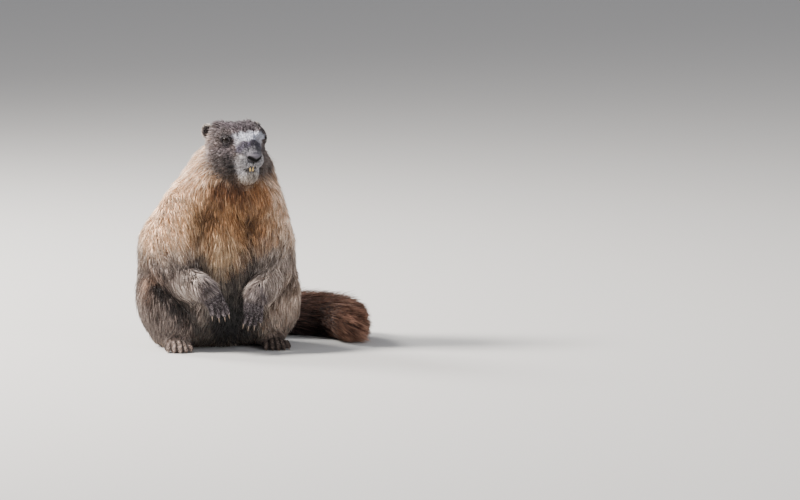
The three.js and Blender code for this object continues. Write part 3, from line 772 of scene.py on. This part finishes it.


# Markings: each is an ellipsoid in millimetres, with a soft edge, painted over the ones before it, on one
# region or on all. Its centre and radii come first, then the softness of its edge, the hair's own colour, the
# colour of its tips, and the share of tips that are pale. Those of the head are placed in the head's frame.
# A few hold painted shade, and one holds painted light, as said beside them.
# region or on all. Its centre and radii come first, then the softness of its edge, the hair's own colour, the
# colour of its tips, and the share of tips that are pale. Those of the head are placed in the head's frame.

HERE, ALL = (0, 0, 0), (999, 999, 999)  # a marking all over its region
BODY_MARKS = {
    "back": ("", HERE, ALL, 0.5, "#7d6a5a", "#d0c3b5", 0.5),
    "flanks": ("", (0, -20, 120), (150, 90, 90), 0.35, "#63564f", "#c6bab2", 0.6),
    "mantle": ("", (20, 5, 212), (96, 78, 62), 0.35, "#d6a97f", "#fdeada", 0.75),
    # the shoulders' pale coat, with painted light: the right shoulder on the lit side is painted paler than
    # the left
    "right_shoulder": ("", (-60, -14, 178), (48, 60, 62), 0.4, "#f2bd8c", "#ffe9d2", 0.8),
    "left_shoulder": ("", (78, -5, 176), (34, 52, 64), 0.4, "#dcb08c", "#fcebda", 0.75),
    "collar": ("", (4, -70, 182), (70, 46, 48), 0.6, "#b5804f", "#efc899", 0.6),
    "nape": ("", (10, 92, 195), (100, 58, 120), 0.4, "#7a685c", "#cdbfb2", 0.55),
    "chest": ("", (6, -76, 170), (50, 40, 40), 0.6, "#855835", "#d0a175", 0.48),
    "chest_middle": ("", (-8, -88, 134), (26, 34, 44), 0.6, "#b58d66", "#f0d8b6", 0.6),
    "chest_right_dark": ("", (-22, -66, 184), (17, 34, 20), 0.8, "#5f4530", "#a3744f", 0.4),
    "chest_left_dark": ("", (42, -66, 172), (14, 34, 24), 0.8, "#644630", "#a5754c", 0.4),
    "throat": ("", (12, -52, 208), (32, 32, 17), 0.4, "#573824", "#946543", 0.35),
    "throat_left": ("", (52, -50, 204), (16, 30, 18), 0.5, "#8f5f3c", "#cf9c6e", 0.4),
    "belly": ("", (8, -88, 88), (30, 36, 24), 0.5, "#4a433f", "#94897f", 0.4),
    "right_thigh": ("", (-76, -30, 58), (44, 70, 66), 0.3, "#4b3e39", "#aa9a91", 0.48),
    "right_thigh_rust": ("", (-103, -36, 90), (18, 30, 16), 0.8, "#7d5b49", "#d3aa8e", 0.6),
    "left_thigh": ("", (84, -30, 50), (40, 66, 62), 0.4, "#957d6b", "#e4d0c2", 0.7),
    # mostly painted shadow between the legs and under the belly, over dark fur
    "between_legs": ("", (6, -72, 34), (36, 46, 46), 0.35, "#131113", "#2b272a", 0.25),
    # painted shadow in the fold between the right arm and the thigh
    "right_fold": ("", (-88, -56, 82), (17, 28, 15), 0.5, "#332b2a", "#6d605a", 0.3),
    "right_fold_low": ("", (-66, -72, 62), (18, 26, 14), 0.5, "#332b2a", "#6d605a", 0.3),
    "forearm": ("forearm", HERE, ALL, 0.5, "#85746a", "#dacdc4", 0.6),
    "right_wrist": ("forearm", (-26, -104, 68), (26, 26, 26), 0.4, "#4a4142", "#8f8588", 0.35),
    "left_wrist": ("forearm", (30, -96, 56), (26, 26, 26), 0.4, "#564c4d", "#9c9295", 0.4),
    "hand": ("hand", HERE, ALL, 0.5, "#3c3437", "#a19799", 0.4),
    "shank": ("shank", HERE, ALL, 0.5, "#655449", "#b09a8a", 0.45),
    "foot": ("foot", HERE, ALL, 0.5, "#85736a", "#ccbcb2", 0.5),
    # painted shade: the left foot is painted darker than the right one
    "left_foot": ("foot", (65, -50, 8), (30, 50, 30), 0.3, "#4b3f39", "#8d7d73", 0.42),
    "ear": ("ear", HERE, ALL, 0.5, "#6b615b", "#a79d94", 0.5),
    # the tail's own dark and rust-brown hair, with painted shade: dark underneath, rust on the top and end
    "tail": ("tail", HERE, ALL, 0.5, "#231c1c", "#65504a", 0.35),
    "tail_top": ("tail", (110, 60, 72), (130, 110, 38), 0.5, "#573f34", "#c09079", 0.6),
    "tail_end": ("tail", (192, 8, 34), (34, 54, 46), 0.6, "#5d4337", "#cf9f86", 0.62),
}
HEAD_MARKS = {
    "temples": ("", (0, 8, 0), (46, 36, 36), 0.4, "#483e42", "#897d83", 0.45),
    "crown": ("", (0, -2, 32), (42, 48, 24), 0.6, "#261e23", "#594e55", 0.45),
    "cheeks": ("", (0, 16, -18), (46, 31, 24), 0.5, "#1c1719", "#463f42", 0.35),
    "far_cheek": ("", (36, 4, -16), (18, 34, 26), 0.5, "#4f4440", "#94857e", 0.45),
    "band": ("head", (4, 32, 18), (24, 17, 4.8), 0.3, "#cfd2e4", "#f6f8ff", 0.85),
    "band_right": ("head", (-15.5, 36, 12), (4.5, 8, 8), 0.5, "#b6b2ba", "#e6e4ea", 0.7),
    "band_left": ("head", (15.5, 36, 12), (4.5, 8, 8), 0.5, "#b6b2ba", "#e6e4ea", 0.7),
    "muzzle": ("head", (0, 43, -17.5), (21, 20, 18.5), 0.25, "#949296", "#dad8db", 0.65),
    "saddle": ("head", (0, 41, 8.5), (18, 13, 5.6), 0.3, "#3f3b45", "#6a6577", 0.3),
    "saddle_right": ("head", (-14, 39, 3), (5, 8, 6), 0.4, "#48434e", "#7d788a", 0.3),
    "saddle_left": ("head", (14, 39, 3), (5, 8, 6), 0.4, "#48434e", "#7d788a", 0.3),
    "muzzle_top": ("head", (0, 50, 0), (15, 15, 7), 0.3, "#605e64", "#87868c", 0.35),
    "brow_right": ("head", (-25, 22, 14), (9.5, 9.5, 8.5), 0.5, "#191519", "#443f46", 0.3),
    "brow_left": ("head", (28, 16, 13), (6, 6, 5), 0.5, "#191519", "#443f46", 0.3),
    "chin": ("head", (0, 37, -33), (11, 12, 6), 0.6, "#9f958c", "#dad2c9", 0.55),
    "lips": ("head", (0, 46, -25), (9, 12, 3), 0.4, "#5c554f", "#958c84", 0.2),
}
PATCH_WAVES = array((0.21, 0.13, -0.1), (-0.11, 0.2, 0.16), (0.07, -0.15, 0.24))  # turns of shade, per mm
EDGE_WAVE = 5  # how far the edges of the markings wander on the body
HEAD_WAVE = 0.25  # share of that on the head


def waves(p, twist):
    """Three slow waves over the coat, without a seam."""
    return np.sin(p @ PATCH_WAVES.T + twist * np.sin(p @ PATCH_WAVES[::-1].T))


def mark_weight(p, centre, radii, soft):
    far = np.linalg.norm((p - array(*centre)) / array(*radii), axis=1)
    return (1 - smoothstep(1 - soft, 1 + soft, far))[:, None]


def painted(p, share_of):
    """Seven numbers a point: the hair's colour, its tips' colour, and the share of pale tips."""
    wander = waves(p, 2)
    places = (p + EDGE_WAVE * wander, head_space(p) + HEAD_WAVE * EDGE_WAVE * wander)
    paint = np.zeros((len(p), 7))
    for marks, place in zip((BODY_MARKS, HEAD_MARKS), places):
        for region, centre, radii, soft, own, tip, pale in marks.values():
            weight = mark_weight(place, centre, radii, soft)
            if region:
                weight = weight * share_of(region)[:, None]
            paint += weight * (array(*linear(own), *linear(tip), pale) - paint)
    return paint


# Bare places: the eyes, the nose pad, the mouth, the soles and the ear's canal

BARE_EYE = {"towards_nose": 1.2, "radius": 4.4, "behind": 8}
BARE_ON_HEAD = {"nose": ((0, 57, -8.8), (9.6, 13, 5.8), 3), "mouth": ((0, 42, -21.5), (5, 9, 4.4), 2)}
EAR_CANAL = {"inwards": 2, "front": 3, "down": 2.5, "radius": 3.2}
SOLE = 1.6  # height


def bare_face(p):
    bare = np.zeros(len(p), bool)
    for name, side in SIDES.items():
        gaze, across, up = eye_axes(side)
        q = p - eyes[name]
        far = np.hypot((q @ across + BARE_EYE["towards_nose"]) / EYE_OVAL, q @ up)
        bare |= (far < BARE_EYE["radius"]) & (q @ gaze > -BARE_EYE["behind"])
    for centre, radii, power in BARE_ON_HEAD.values():
        bare |= np.linalg.norm((head_space(p) - array(*centre)) / array(*radii), power, axis=1) < 1
    return bare


def bare_sole(p):
    return p[:, 2] < SOLE


def bare_ear(p):
    canals = []
    for name, side in SIDES.items():
        step = array(-side * EAR_CANAL["inwards"], EAR_CANAL["front"], -EAR_CANAL["down"])
        canals.append(head_space(middle("ear_" + name)[None])[0] + step)
    return distance(head_space(p), canals) < EAR_CANAL["radius"]


# Tufts

ROOT_HEIGHT = 0.9  # no hair grows nearer to the floor
TIP_HEIGHT = 1.5  # middles and tips of the hair stay over this
HAIR_HEIGHT = 0.3  # no corner of a tuft comes lower
VARIETY = {  # standard deviation, least and most, as shares of the usual
    "length": (0.16, 0.5, 1.5),
    "rise": (0.2, 0.3, 1.6),
    "width": (0.2, 0.5, 1.6),
    "stand": (0.35, 0.2, 2),
}
TURN = 9  # degrees that a tuft lies off the coat's way
CREST = {"middle": 0.72, "sinks": 0.5}  # share of the rise at a tuft's middle, and how deep it is rooted
LOST = 0.55  # a step that the skin turns away from by this share of it leaves the skin
CLUMP = {"tufts": 14, "lean": 0.75, "middle": 0.3, "sway": 0.05, "patches": 0.9, "twist": 1.7}
SHADES = {"tuft": 0.22, "clump": 0.15, "tips": 0.36, "clump_tips": 0.2}
COAT_DEPTH_SHADE = {"root": 0.2, "light_from": 0.7, "tips": (0.25, 0.85)}  # painted shade in the coat's depth: the light left at the root, and shares of the length
PATCH = 0.003  # size of a tuft on the unwrap
LOCK_STEPS = (0, 0.5)  # where along a tuft it has its rings
SECTION = array((-0.5, 0), (0.5, 0), (0, 0.45))  # across and out, in widths: a flat lock with a ridge
TAPER = (0.6, 1.3, -1.55)  # width at the root, and how it swells and thins


def varied(what, noise):
    spread_by, least, most = VARIETY[what]
    return (1 + spread_by * noise).clip(least, most)


class Tufts:
    """Locks of hair on a hide. Each starts in the skin, follows the way the hair lies and ends in a tip."""

    def __init__(self, hide, seed, bare):
        self.hide = hide
        self.random = np.random.default_rng(seed)
        self.scatter(bare)
        self.lay()
        self.clump()

    def scatter(self, bare):
        """Roots: as many on each triangle as the coat is crowded there, none where the skin is bare."""
        hide = self.hide
        hide.mesh.calc_loop_triangles()
        corners = read_all(hide.mesh.loop_triangles, "vertices", 3, np.int32)
        loops = read_all(hide.mesh.loop_triangles, "loops", 3, np.int32)
        a, b, c = (hide.place[corners[:, k]] for k in range(3))
        area = np.linalg.norm(np.cross(b - a, c - a), axis=1) / 2
        crowd = hide.growth["crowd"][corners].mean(axis=1)
        steps = np.cumsum(area * crowd)
        picks = np.arange(self.random.random(), steps[-1])
        face = np.searchsorted(steps, picks)
        share = self.random.random((len(face), 2))
        over = share.sum(axis=1) > 1
        share[over] = 1 - share[over]
        weights = np.column_stack([1 - share.sum(axis=1), share])
        own = corners[face]

        def blend(values):
            return np.einsum("ij,ij...->i...", weights, values[own])

        self.root = blend(hide.place)
        keep = ~bare(self.root) & (self.root[:, 2] > ROOT_HEIGHT)
        face, own, weights, self.root = face[keep], own[keep], weights[keep], self.root[keep]
        self.count = len(face)
        self.normal = unit(blend(hide.normal))
        self.lie = blend(hide.lie)
        self.growth = {k: blend(v) for k, v in hide.growth.items()}
        self.paint = blend(hide.paint)
        self.region = np.argmax(blend(hide.share), axis=1)
        self.uv = np.einsum("ij,ijk->ik", weights, hide.uv[loops[face]])

    def noise(self):
        return self.random.normal(0, 1, self.count)

    def lay(self):
        """The line of each tuft: root, middle and tip, carried over the skin so that it follows the body."""
        self.length = self.growth["length"] * varied("length", self.noise())
        turn = np.radians(TURN) * self.noise()
        side = np.cross(self.normal, self.lie)
        self.lie = unit(self.lie * np.cos(turn)[:, None] + side * np.sin(turn)[:, None])
        rise = self.growth["rise"] * varied("rise", self.noise())
        half = self.walk(self.root, self.lie, self.length / 2)
        tip = self.walk(half[0], self.lie * 0.5 + half[2] * 0.5, self.length / 2)
        self.line = [
            self.root - CREST["sinks"] * self.normal,
            half[0] + half[1] * (CREST["middle"] * rise)[:, None],
            tip[0] + tip[1] * rise[:, None],
        ]
        self.out = [self.normal, half[1], tip[1]]
        seen = half[3] >= 0
        self.paint[seen] = self.hide.paint[half[3][seen]]
        self.brush_tail()

    def brush_tail(self):
        """The hair of the tail stands off its core on all sides, and beyond its end."""
        own = np.flatnonzero(self.region == REGION_NAMES.index("tail"))
        if not len(own):
            return
        start = self.hide.nearest_tail(self.root[own])
        length = self.length[own][:, None]
        on = (ROUTE_STEPS / TAIL_LENGTH * length[:, 0] / 2).astype(int)
        ahead = np.minimum(start + on, ROUTE_STEPS - 1)
        stand = TAIL_STAND * varied("stand", self.noise()[own][:, None])
        sweep = TAIL_SWEEP["far"] * smoothstep(*TAIL_SWEEP["from"], start / ROUTE_STEPS)[:, None]
        sweep = sweep * array(*TAIL_SWEEP["way"])
        way = unit(tail_along[start] + stand * self.normal[own] + sweep)
        self.line[1][own] = self.root[own] + way * length / 2
        way = tail_along[ahead] + TIP_HALF["stand"] * stand * self.normal[own] + TIP_HALF["sweep"] * sweep
        way = unit(way)
        self.line[2][own] = self.line[1][own] + way * length / 2
        self.out[2][own] = self.normal[own]
        for k in (1, 2):
            over = np.maximum(self.line[k][own] - TAIL_BENDS, 0)
            self.line[k][own] -= over - HAIR_REACH * (1 - np.exp(-over / HAIR_REACH))

    def walk(self, start, way, far):
        """A step along the way, brought back to the skin, with the skin's normal and lie there."""
        hide = self.hide
        goal = start + way * far[:, None]
        hits = [hide.search.find_nearest(Vector(spot)) for spot in goal]
        place = np.array([hit[0] for hit in hits])
        corner = hide.faces[[hit[2] for hit in hits]]
        lost = np.linalg.norm(place - goal, axis=1) > LOST * far
        place[lost] = goal[lost]
        normal = np.where(lost[:, None], self.normal, hide.normal[corner])
        lie = np.where(lost[:, None], self.lie, hide.lie[corner])
        return place, normal, lie, np.where(lost, -1, corner)

    def clump(self):
        """Neighbouring tips lean to a shared tip, and each clump has its own shade."""
        count = max(self.count // CLUMP["tufts"], 1)
        chosen = self.random.choice(self.count, count, replace=False)
        tree = KDTree(count)
        for i, tuft in enumerate(chosen):
            tree.insert(Vector(self.root[tuft]), i)
        tree.balance()
        leader = np.array([tree.find(Vector(p))[1] for p in self.root])
        lead = chosen[leader]
        lean = (CLUMP["lean"] * self.random.random(self.count))[:, None]
        for k, part in ((1, CLUMP["middle"]), (2, 1.0)):
            self.line[k] = self.line[k] + lean * part * (self.line[k][lead] - self.line[k])
        sway = CLUMP["sway"] * self.length[lead] * self.random.normal(0, 1, count)[leader]
        side = unit(np.cross(self.out[2], self.lie))
        self.line[2] = self.line[2] + side * sway[:, None]
        self.clump_shade = self.random.normal(0, 1, count)[leader]
        self.clump_shade += CLUMP["patches"] * waves(self.root, CLUMP["twist"]).mean(axis=1)
        for k in (1, 2):
            self.line[k][:, 2] = np.maximum(self.line[k][:, 2], TIP_HEIGHT)

    def colours(self, steps):
        """The colour at each step from root to tip: darker underfur and painted shade in the coat's depth,
        pale at some of the tips.
        """
        own, tip, pale = self.paint[:, :3], self.paint[:, 3:6], self.paint[:, 6]
        shade = np.exp(SHADES["tuft"] * self.noise() + SHADES["clump"] * self.clump_shade)
        light = (pale + SHADES["tips"] * self.noise() + SHADES["clump_tips"] * self.clump_shade).clip(0, 1)
        out = []
        for s in steps:
            depth = COAT_DEPTH_SHADE["root"] + (1 - COAT_DEPTH_SHADE["root"]) * smoothstep(0, COAT_DEPTH_SHADE["light_from"], s)
            tipped = (light * smoothstep(*COAT_DEPTH_SHADE["tips"], s))[:, None]
            out.append((own * (1 - tipped) + tip * tipped) * (shade * depth)[:, None])
        return out

    def build(self, name, chosen):
        """Joins the chosen tufts into one mesh, each a closed lock of three sides."""
        count = len(chosen)
        a, b, c = (line[chosen] for line in self.line)
        width = self.growth["width"][chosen] * varied("width", self.random.normal(0, 1, count))
        colours = [shade[chosen] for shade in self.colours(LOCK_STEPS + (1,))]
        rings, looks = [], []
        for s, look in zip(LOCK_STEPS, colours):
            spine = (1 - s) * (1 - 2 * s) * a + 4 * s * (1 - s) * b + s * (2 * s - 1) * c
            heading = unit((4 * s - 3) * a + (4 - 8 * s) * b + (4 * s - 1) * c)
            out = self.out[0][chosen] * (1 - s) + self.out[2][chosen] * s
            across = unit(np.cross(heading, out))
            out = np.cross(across, heading)
            size = (width * (TAPER[0] + TAPER[1] * s + TAPER[2] * s * s))[:, None]
            for x, y in SECTION:
                rings.append(spine + size * (across * x + out * y))
                looks.append(look)
        rings.append(c)
        looks.append(colours[-1])
        per = len(rings)
        place = np.stack(rings, 1).reshape(-1, 3)
        place[:, 2] = np.maximum(place[:, 2], HAIR_HEIGHT)
        sides = []
        for r in range(len(LOCK_STEPS) - 1):
            for k in range(3):
                n = (k + 1) % 3
                sides.append((3 * r + n, 3 * r + k, 3 * r + 3 + k, 3 * r + 3 + n))
        last = 3 * (len(LOCK_STEPS) - 1)
        ends = [(last + (k + 1) % 3, last + k, per - 1) for k in range(3)] + [(0, 1, 2)]
        pattern = np.array([i for face in sides + ends for i in face])
        starts = np.cumsum([0] + [len(face) for face in sides + ends])
        mesh = bpy.data.meshes.new(name)
        mesh.vertices.add(len(place))
        write_all(mesh.vertices, "co", place * MM)
        mesh.loops.add(count * len(pattern))
        write_all(mesh.loops, "vertex_index", np.arange(count)[:, None] * per + pattern, np.int32)
        begins = np.arange(count)[:, None] * starts[-1] + starts[:-1]
        mesh.polygons.add(begins.size)
        write_all(mesh.polygons, "loop_start", begins, np.int32)
        round_faces(mesh)
        mesh.update(calc_edges=True)
        store_colours(mesh, np.stack(looks, 1).reshape(-1, 3))
        spot = [(k % 3 / 2 - 0.5, k // 3 / len(LOCK_STEPS) - 0.5) for k in range(per)]
        local = PATCH * np.array(spot)[pattern]
        uv = self.uv[chosen][:, None, :] + local[None]
        write_all(mesh.uv_layers.new(name="OFBake").uv, "vector", uv)
        made = new_object(name, mesh, fur)
        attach(made, "root")
        return made


# Coat: the skins and their tufts, in pieces


def coat_piece_names(tufts):
    """The piece of the coat that each tuft belongs to."""
    names = []
    for region, (x, y, z) in zip(tufts.region, tufts.root):
        name = REGION_NAMES[region]
        if name not in ("head", "tail", "ear"):
            name += "_right" if x < MIDLINE else "_left"
        if name.startswith("torso"):
            name += "_front" if y < 0 else "_back"
        names.append(name)
    return np.array(names)


def grow_coat(hide, seed, bare, joined=()):
    """The tufts of one skin. Those of a small region can go with the piece beside it."""
    tufts = Tufts(hide, seed, bare)
    for small, large in joined:
        tufts.region[tufts.region == REGION_NAMES.index(small)] = REGION_NAMES.index(large)
    owners = coat_piece_names(tufts)
    for name in sorted(set(owners)):
        chosen = np.flatnonzero(owners == name)
        tufts.build("fur_" + name, chosen)


body_hide = BodyHide()
skin = body_hide.finish("skin", "body_coat", bare_hide)
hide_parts(*nodes_of("torso", "neck", "head", "upper_arm", "forearm", "thigh", "shank", "tail"))
grow_coat(body_hide, 7, bare_face, (("hand", "forearm"), ("foot", "shank")))

paw_hide = PawHide()
paws = paw_hide.finish("paw_skin", "hand_coat", bare_hide)
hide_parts(*nodes_of("hand", "foot"))
grow_coat(paw_hide, 11, bare_sole)

ear_hide = EarHide()
ears = ear_hide.finish("ear_skin", "face_coat", bare_hide)
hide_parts(*nodes_of("ear"))
grow_coat(ear_hide, 13, bare_ear)


# Face: eyes, lids, nose, mouth, teeth and whiskers


def shaped_sheet(columns, rows, place):
    """A sheet of that many faces each way, at its place in millimetres, with edges that meet joined."""
    bm = bmesh.new()
    bmesh.ops.create_grid(bm, x_segments=columns, y_segments=rows, size=1)
    for v in bm.verts:
        v.co = Vector(place((v.co.x + 1) / 2, (v.co.y + 1) / 2)) * MM
    bmesh.ops.remove_doubles(bm, verts=bm.verts, dist=0.01 * MM)
    return bm


def add_piece(name, bm, material, slot, *replaced):
    piece = from_bmesh(name, bm, material)
    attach(piece, "root")
    if replaced:
        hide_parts(*replaced)
    return piece


def round_off(piece, levels):
    step = piece.modifiers.new("rounded", "SUBSURF")
    step.levels = levels
    step.render_levels = levels


def make_eye(name, side):
    gaze, across, up = eye_axes(side)
    bm = bmesh.new()
    bmesh.ops.create_uvsphere(bm, u_segments=40, v_segments=24, radius=EYE_RADIUS)
    for v in bm.verts:
        v.co = Vector((eyes[name] + v.co.x * across + v.co.y * up + v.co.z * gaze) * MM)
    bmesh.ops.recalc_face_normals(bm, faces=bm.faces)
    add_piece("eyeball_" + name, bm, wet_eye, "eye", "eye_" + name)


# Degrees outwards from the opening's edge, and millimetres from the eyeball's middle
LID_PROFILE = ((-3, 6.2), (0, 6.5), (2, 6.85), (6, 7.1), (13, 7.1), (24, 6.8), (40, 6.2), (58, 5.0))
LID_CORNER = {"longer": 0.14, "sharpness": 10}
LID_FOLD = 0.25


def make_lids(name, side):
    """Both lids as one ring that hugs the eyeball: a rolled edge, a fold, and the rest under the fur."""
    gaze, across, up = eye_axes(side)
    rows = len(LID_PROFILE) - 1

    def place(u, v):
        turn = 2 * math.pi * u
        wide, high = LID_OPENING
        corner = 1 + LID_CORNER["longer"] * abs(math.cos(turn)) ** LID_CORNER["sharpness"]
        opening = corner / math.hypot(math.cos(turn) / wide, math.sin(turn) / high)
        step, radius = LID_PROFILE[round(v * rows)]
        fold = LID_FOLD * math.sin(turn) if 2 < round(v * rows) < 6 else 0
        a = math.radians(opening + step)
        way = math.cos(a) * gaze + math.sin(a) * (math.cos(turn) * across + math.sin(turn) * up)
        return eyes[name] + (radius + fold) * way

    bm = shaped_sheet(48, rows, place)
    round_off(add_piece("eyelids_" + name, bm, lid_skin, "face_coat"), 1)


NOSE_SIZE = array(10.2, 7, 8.2)
NOSTRIL = {"inner": (1.5, -4.6), "outer": (8.4, -1.2), "width": 2.2, "depth": 3.2}  # across and up the pad
# The inside colour is painted shade in the nostrils, and the pad is darker towards its bottom.
NOSE_COLOURS = {"top": "#67636a", "under": "#2c2729", "inside": "#060505"}
GROOVE = {"width": 0.9, "depth": 1, "from": (-5, -3)}  # below the nostrils
TOP_SLOPE = {"depth": 2.4, "from": (0.5, 4)}  # the top draws back under the fur
FOOT_NARROWS = {"least": 0.75, "from": (-7, -2)}
NOSE_FACE = (-0.2, 0.5)  # shares of its depth over which the nostrils sink in
NOSE_DARK = {"nostril": 1.6, "under": (-6, -3.5)}


def near_nostril(x, z):
    """1 along the line of either nostril, down to 0 beside it."""
    a, b = array(*NOSTRIL["inner"]), array(*NOSTRIL["outer"])
    far = along_line(np.stack([np.abs(x), z], -1), a, b)[1]
    return np.exp(-((far / NOSTRIL["width"]) ** 2))


def make_nose():
    """The nose pad: fur hides its top, its nostrils meet in a V, and a groove runs down from there."""
    bm = bmesh.new()
    bmesh.ops.create_icosphere(bm, subdivisions=6, radius=1)
    ball = np.array([v.co for v in bm.verts])
    x, y, z = (ball * NOSE_SIZE).T
    y -= smoothstep(*NOSE_FACE, ball[:, 1]) * NOSTRIL["depth"] * near_nostril(x, z)
    y -= GROOVE["depth"] * np.exp(-((x / GROOVE["width"]) ** 2)) * (1 - smoothstep(*GROOVE["from"], z))
    y -= TOP_SLOPE["depth"] * smoothstep(*TOP_SLOPE["from"], z)
    x *= FOOT_NARROWS["least"] + (1 - FOOT_NARROWS["least"]) * smoothstep(*FOOT_NARROWS["from"], z)
    place = NOSE_AT + x[:, None] * HEAD_SIDE + y[:, None] * HEAD_FRONT + z[:, None] * HEAD_UP
    for v, spot in zip(bm.verts, place):
        v.co = Vector(spot * MM)
    nose = add_piece("nose_pad", bm, nose_skin, "nose", "nose")
    q = points_of(nose.data) / MM - NOSE_AT
    x, z = q @ HEAD_SIDE, q @ HEAD_UP
    # Painted shade in the nostrils, and darker towards the bottom.
    deep = np.clip(NOSE_DARK["nostril"] * near_nostril(x, z), 0, 1)[:, None]
    low = (1 - smoothstep(*NOSE_DARK["under"], z))[:, None]
    top, under, inside = (array(*linear(NOSE_COLOURS[k])) for k in ("top", "under", "inside"))
    store_colours(nose.data, (top * (1 - low) + under * low) * (1 - deep) + inside * deep)


BEFORE_FACE = 90


def on_face(side, up, proud):
    """A point of the face's skin straight behind that place, raised by that much."""
    start = on_head(side, BEFORE_FACE, up)
    hit = body_hide.search.ray_cast(Vector(start), Vector(-HEAD_FRONT))
    return np.array(hit[0]) + proud * np.array(hit[1])


# Places on the face across and up, each line of the mouth from end to end
LIPS = {
    "cleft": [(0, -12), (0.2, -14), (0.3, -16), (0.2, -18)],
    "lip_right": [(0.2, -16), (-3, -18.5), (-6, -21.5), (-10, -23.5), (-14, -23)],
    "lip_left": [(0.2, -16), (3, -18.5), (6, -21.5), (10, -23.5), (14, -23)],
    "lip_under": [(-7, -24.5), (-4, -26.5), (0, -27.5), (4, -26.5), (7, -24.5)],
}
LIP = {"radius": 0.95, "proud": 0.5, "bluntness": 6, "end": 0.03}
MOUTH = {"radii": (5.2, 3.5, 5.2), "front": 40, "down": 21.8}


def make_mouth():
    """The cleft under the nose, the line of the lips and the dark inside."""

    def radius(share):
        return LIP["radius"] * math.sqrt(max(1 - (2 * share - 1) ** LIP["bluntness"], LIP["end"]))

    for name, stops in LIPS.items():
        points = [on_face(side, up, LIP["proud"]) for side, up in stops]
        add_piece("mouth_" + name, laid_along(points, radius, 8, 16), lip_skin, "nose")
    bm = bmesh.new()
    bmesh.ops.create_icosphere(bm, subdivisions=4, radius=1)
    for v in bm.verts:
        x, y, z = array(*v.co) * array(*MOUTH["radii"])
        v.co = Vector(on_head(x, y + MOUTH["front"], z - MOUTH["down"]) * MM)
    add_piece("mouth_inside", bm, lip_skin, "nose")


def refined(name, material, slot, *replaced):
    """The same forms as the solids', merged and rounded."""
    bm = bmesh.new()
    for node in replaced:
        bm.from_mesh(nodes[node].data)
    bmesh.ops.remove_doubles(bm, verts=bm.verts, dist=WELD * MM)
    round_off(add_piece(name, bm, material, slot, *replaced), 2)


WHISKERS = 11  # on each side
WHISKER = {  # the least and most of each measure, in millimetres or as parts of its way
    "side": (8, 15),
    "up": (-20, -9),
    "length": (20, 36),
    "out": (0.7, 1),
    "back": (0, 0.5),
    "tilt": (-0.3, 0.25),
}
WHISKER_RADIUS = 0.16
WHISKER_STEPS = (0, 0.25, 0.5, 0.75, 1)
WHISKER_BEND = {"back": 0.25, "down": 0.2}


def make_whiskers():
    """Stiff dark hairs from the sides of the muzzle, swept back and a little down."""
    random = np.random.default_rng(5)
    bend = -HEAD_FRONT * WHISKER_BEND["back"] - HEAD_UP * WHISKER_BEND["down"]
    for name, side in SIDES.items():
        whole = bmesh.new()
        for _ in range(WHISKERS):
            across, up, length, out, back, tilt = (random.uniform(*span) for span in WHISKER.values())
            root = on_face(side * across, up, 0.2)
            way = unit(side * HEAD_SIDE * out - HEAD_FRONT * back + HEAD_UP * tilt)
            line = [root + length * (t * way + t * t * bend) for t in WHISKER_STEPS]
            add_shell(whole, laid_along(line, lambda share: WHISKER_RADIUS * (1.08 - share), 5, 8))
        add_piece("whiskers_" + name, whole, whisker_hair, "face_coat")


for name, side in SIDES.items():
    make_eye(name, side)
    make_lids(name, side)
make_nose()
make_mouth()
refined("front_teeth", enamel, "incisor", *nodes_of("incisor"))
refined("claws_fore", horn, "claw", *nodes_of("fore_claw"))
refined("claws_hind", horn, "claw", *nodes_of("hind_claw"))
make_whiskers()


# Floor and light

FLOOR = {"half": 60, "colour": "#c9c8c6"}  # metres


def make_floor():
    bm = bmesh.new()
    bmesh.ops.create_grid(bm, x_segments=1, y_segments=1, size=FLOOR["half"])
    material, _, shader = new_material("plain_floor", Roughness=0.9, Specular_IOR_Level=0.2)
    shader.inputs["Base Color"].default_value = rgba(FLOOR["colour"])
    from_bmesh("floor", bm, material)


LIGHTS = {
    "key": {"from": (-2.3, 0.3, 2.1), "size": 0.8, "power": 330, "colour": (1, 0.94, 0.88)},
    "rim": {"from": (-1.3, 1.9, 1.8), "size": 0.8, "power": 115, "colour": (1, 0.97, 0.93)},
    "fill": {"from": (1.4, -2.7, 1.2), "size": 2.2, "power": 42, "colour": (0.94, 0.96, 1)},
}
AIM = Vector((0.02, 0, 0.15))
STUDIO = {"Color": (0.86, 0.87, 0.92, 1), "Strength": 0.48}


def make_lights():
    for name, facts in LIGHTS.items():
        data = bpy.data.lights.new(name, "AREA")
        data.size = facts["size"]
        data.energy = facts["power"]
        data.color = facts["colour"]
        light = bpy.data.objects.new(name, data)
        light.location = facts["from"]
        light.rotation_euler = (AIM - light.location).to_track_quat("-Z", "Y").to_euler()
        scene.collection.objects.link(light)
    world = bpy.data.worlds.new("studio")
    world.use_nodes = True
    for socket, value in STUDIO.items():
        world.node_tree.nodes["Background"].inputs[socket].default_value = value
    scene.world = world


make_floor()
make_lights()
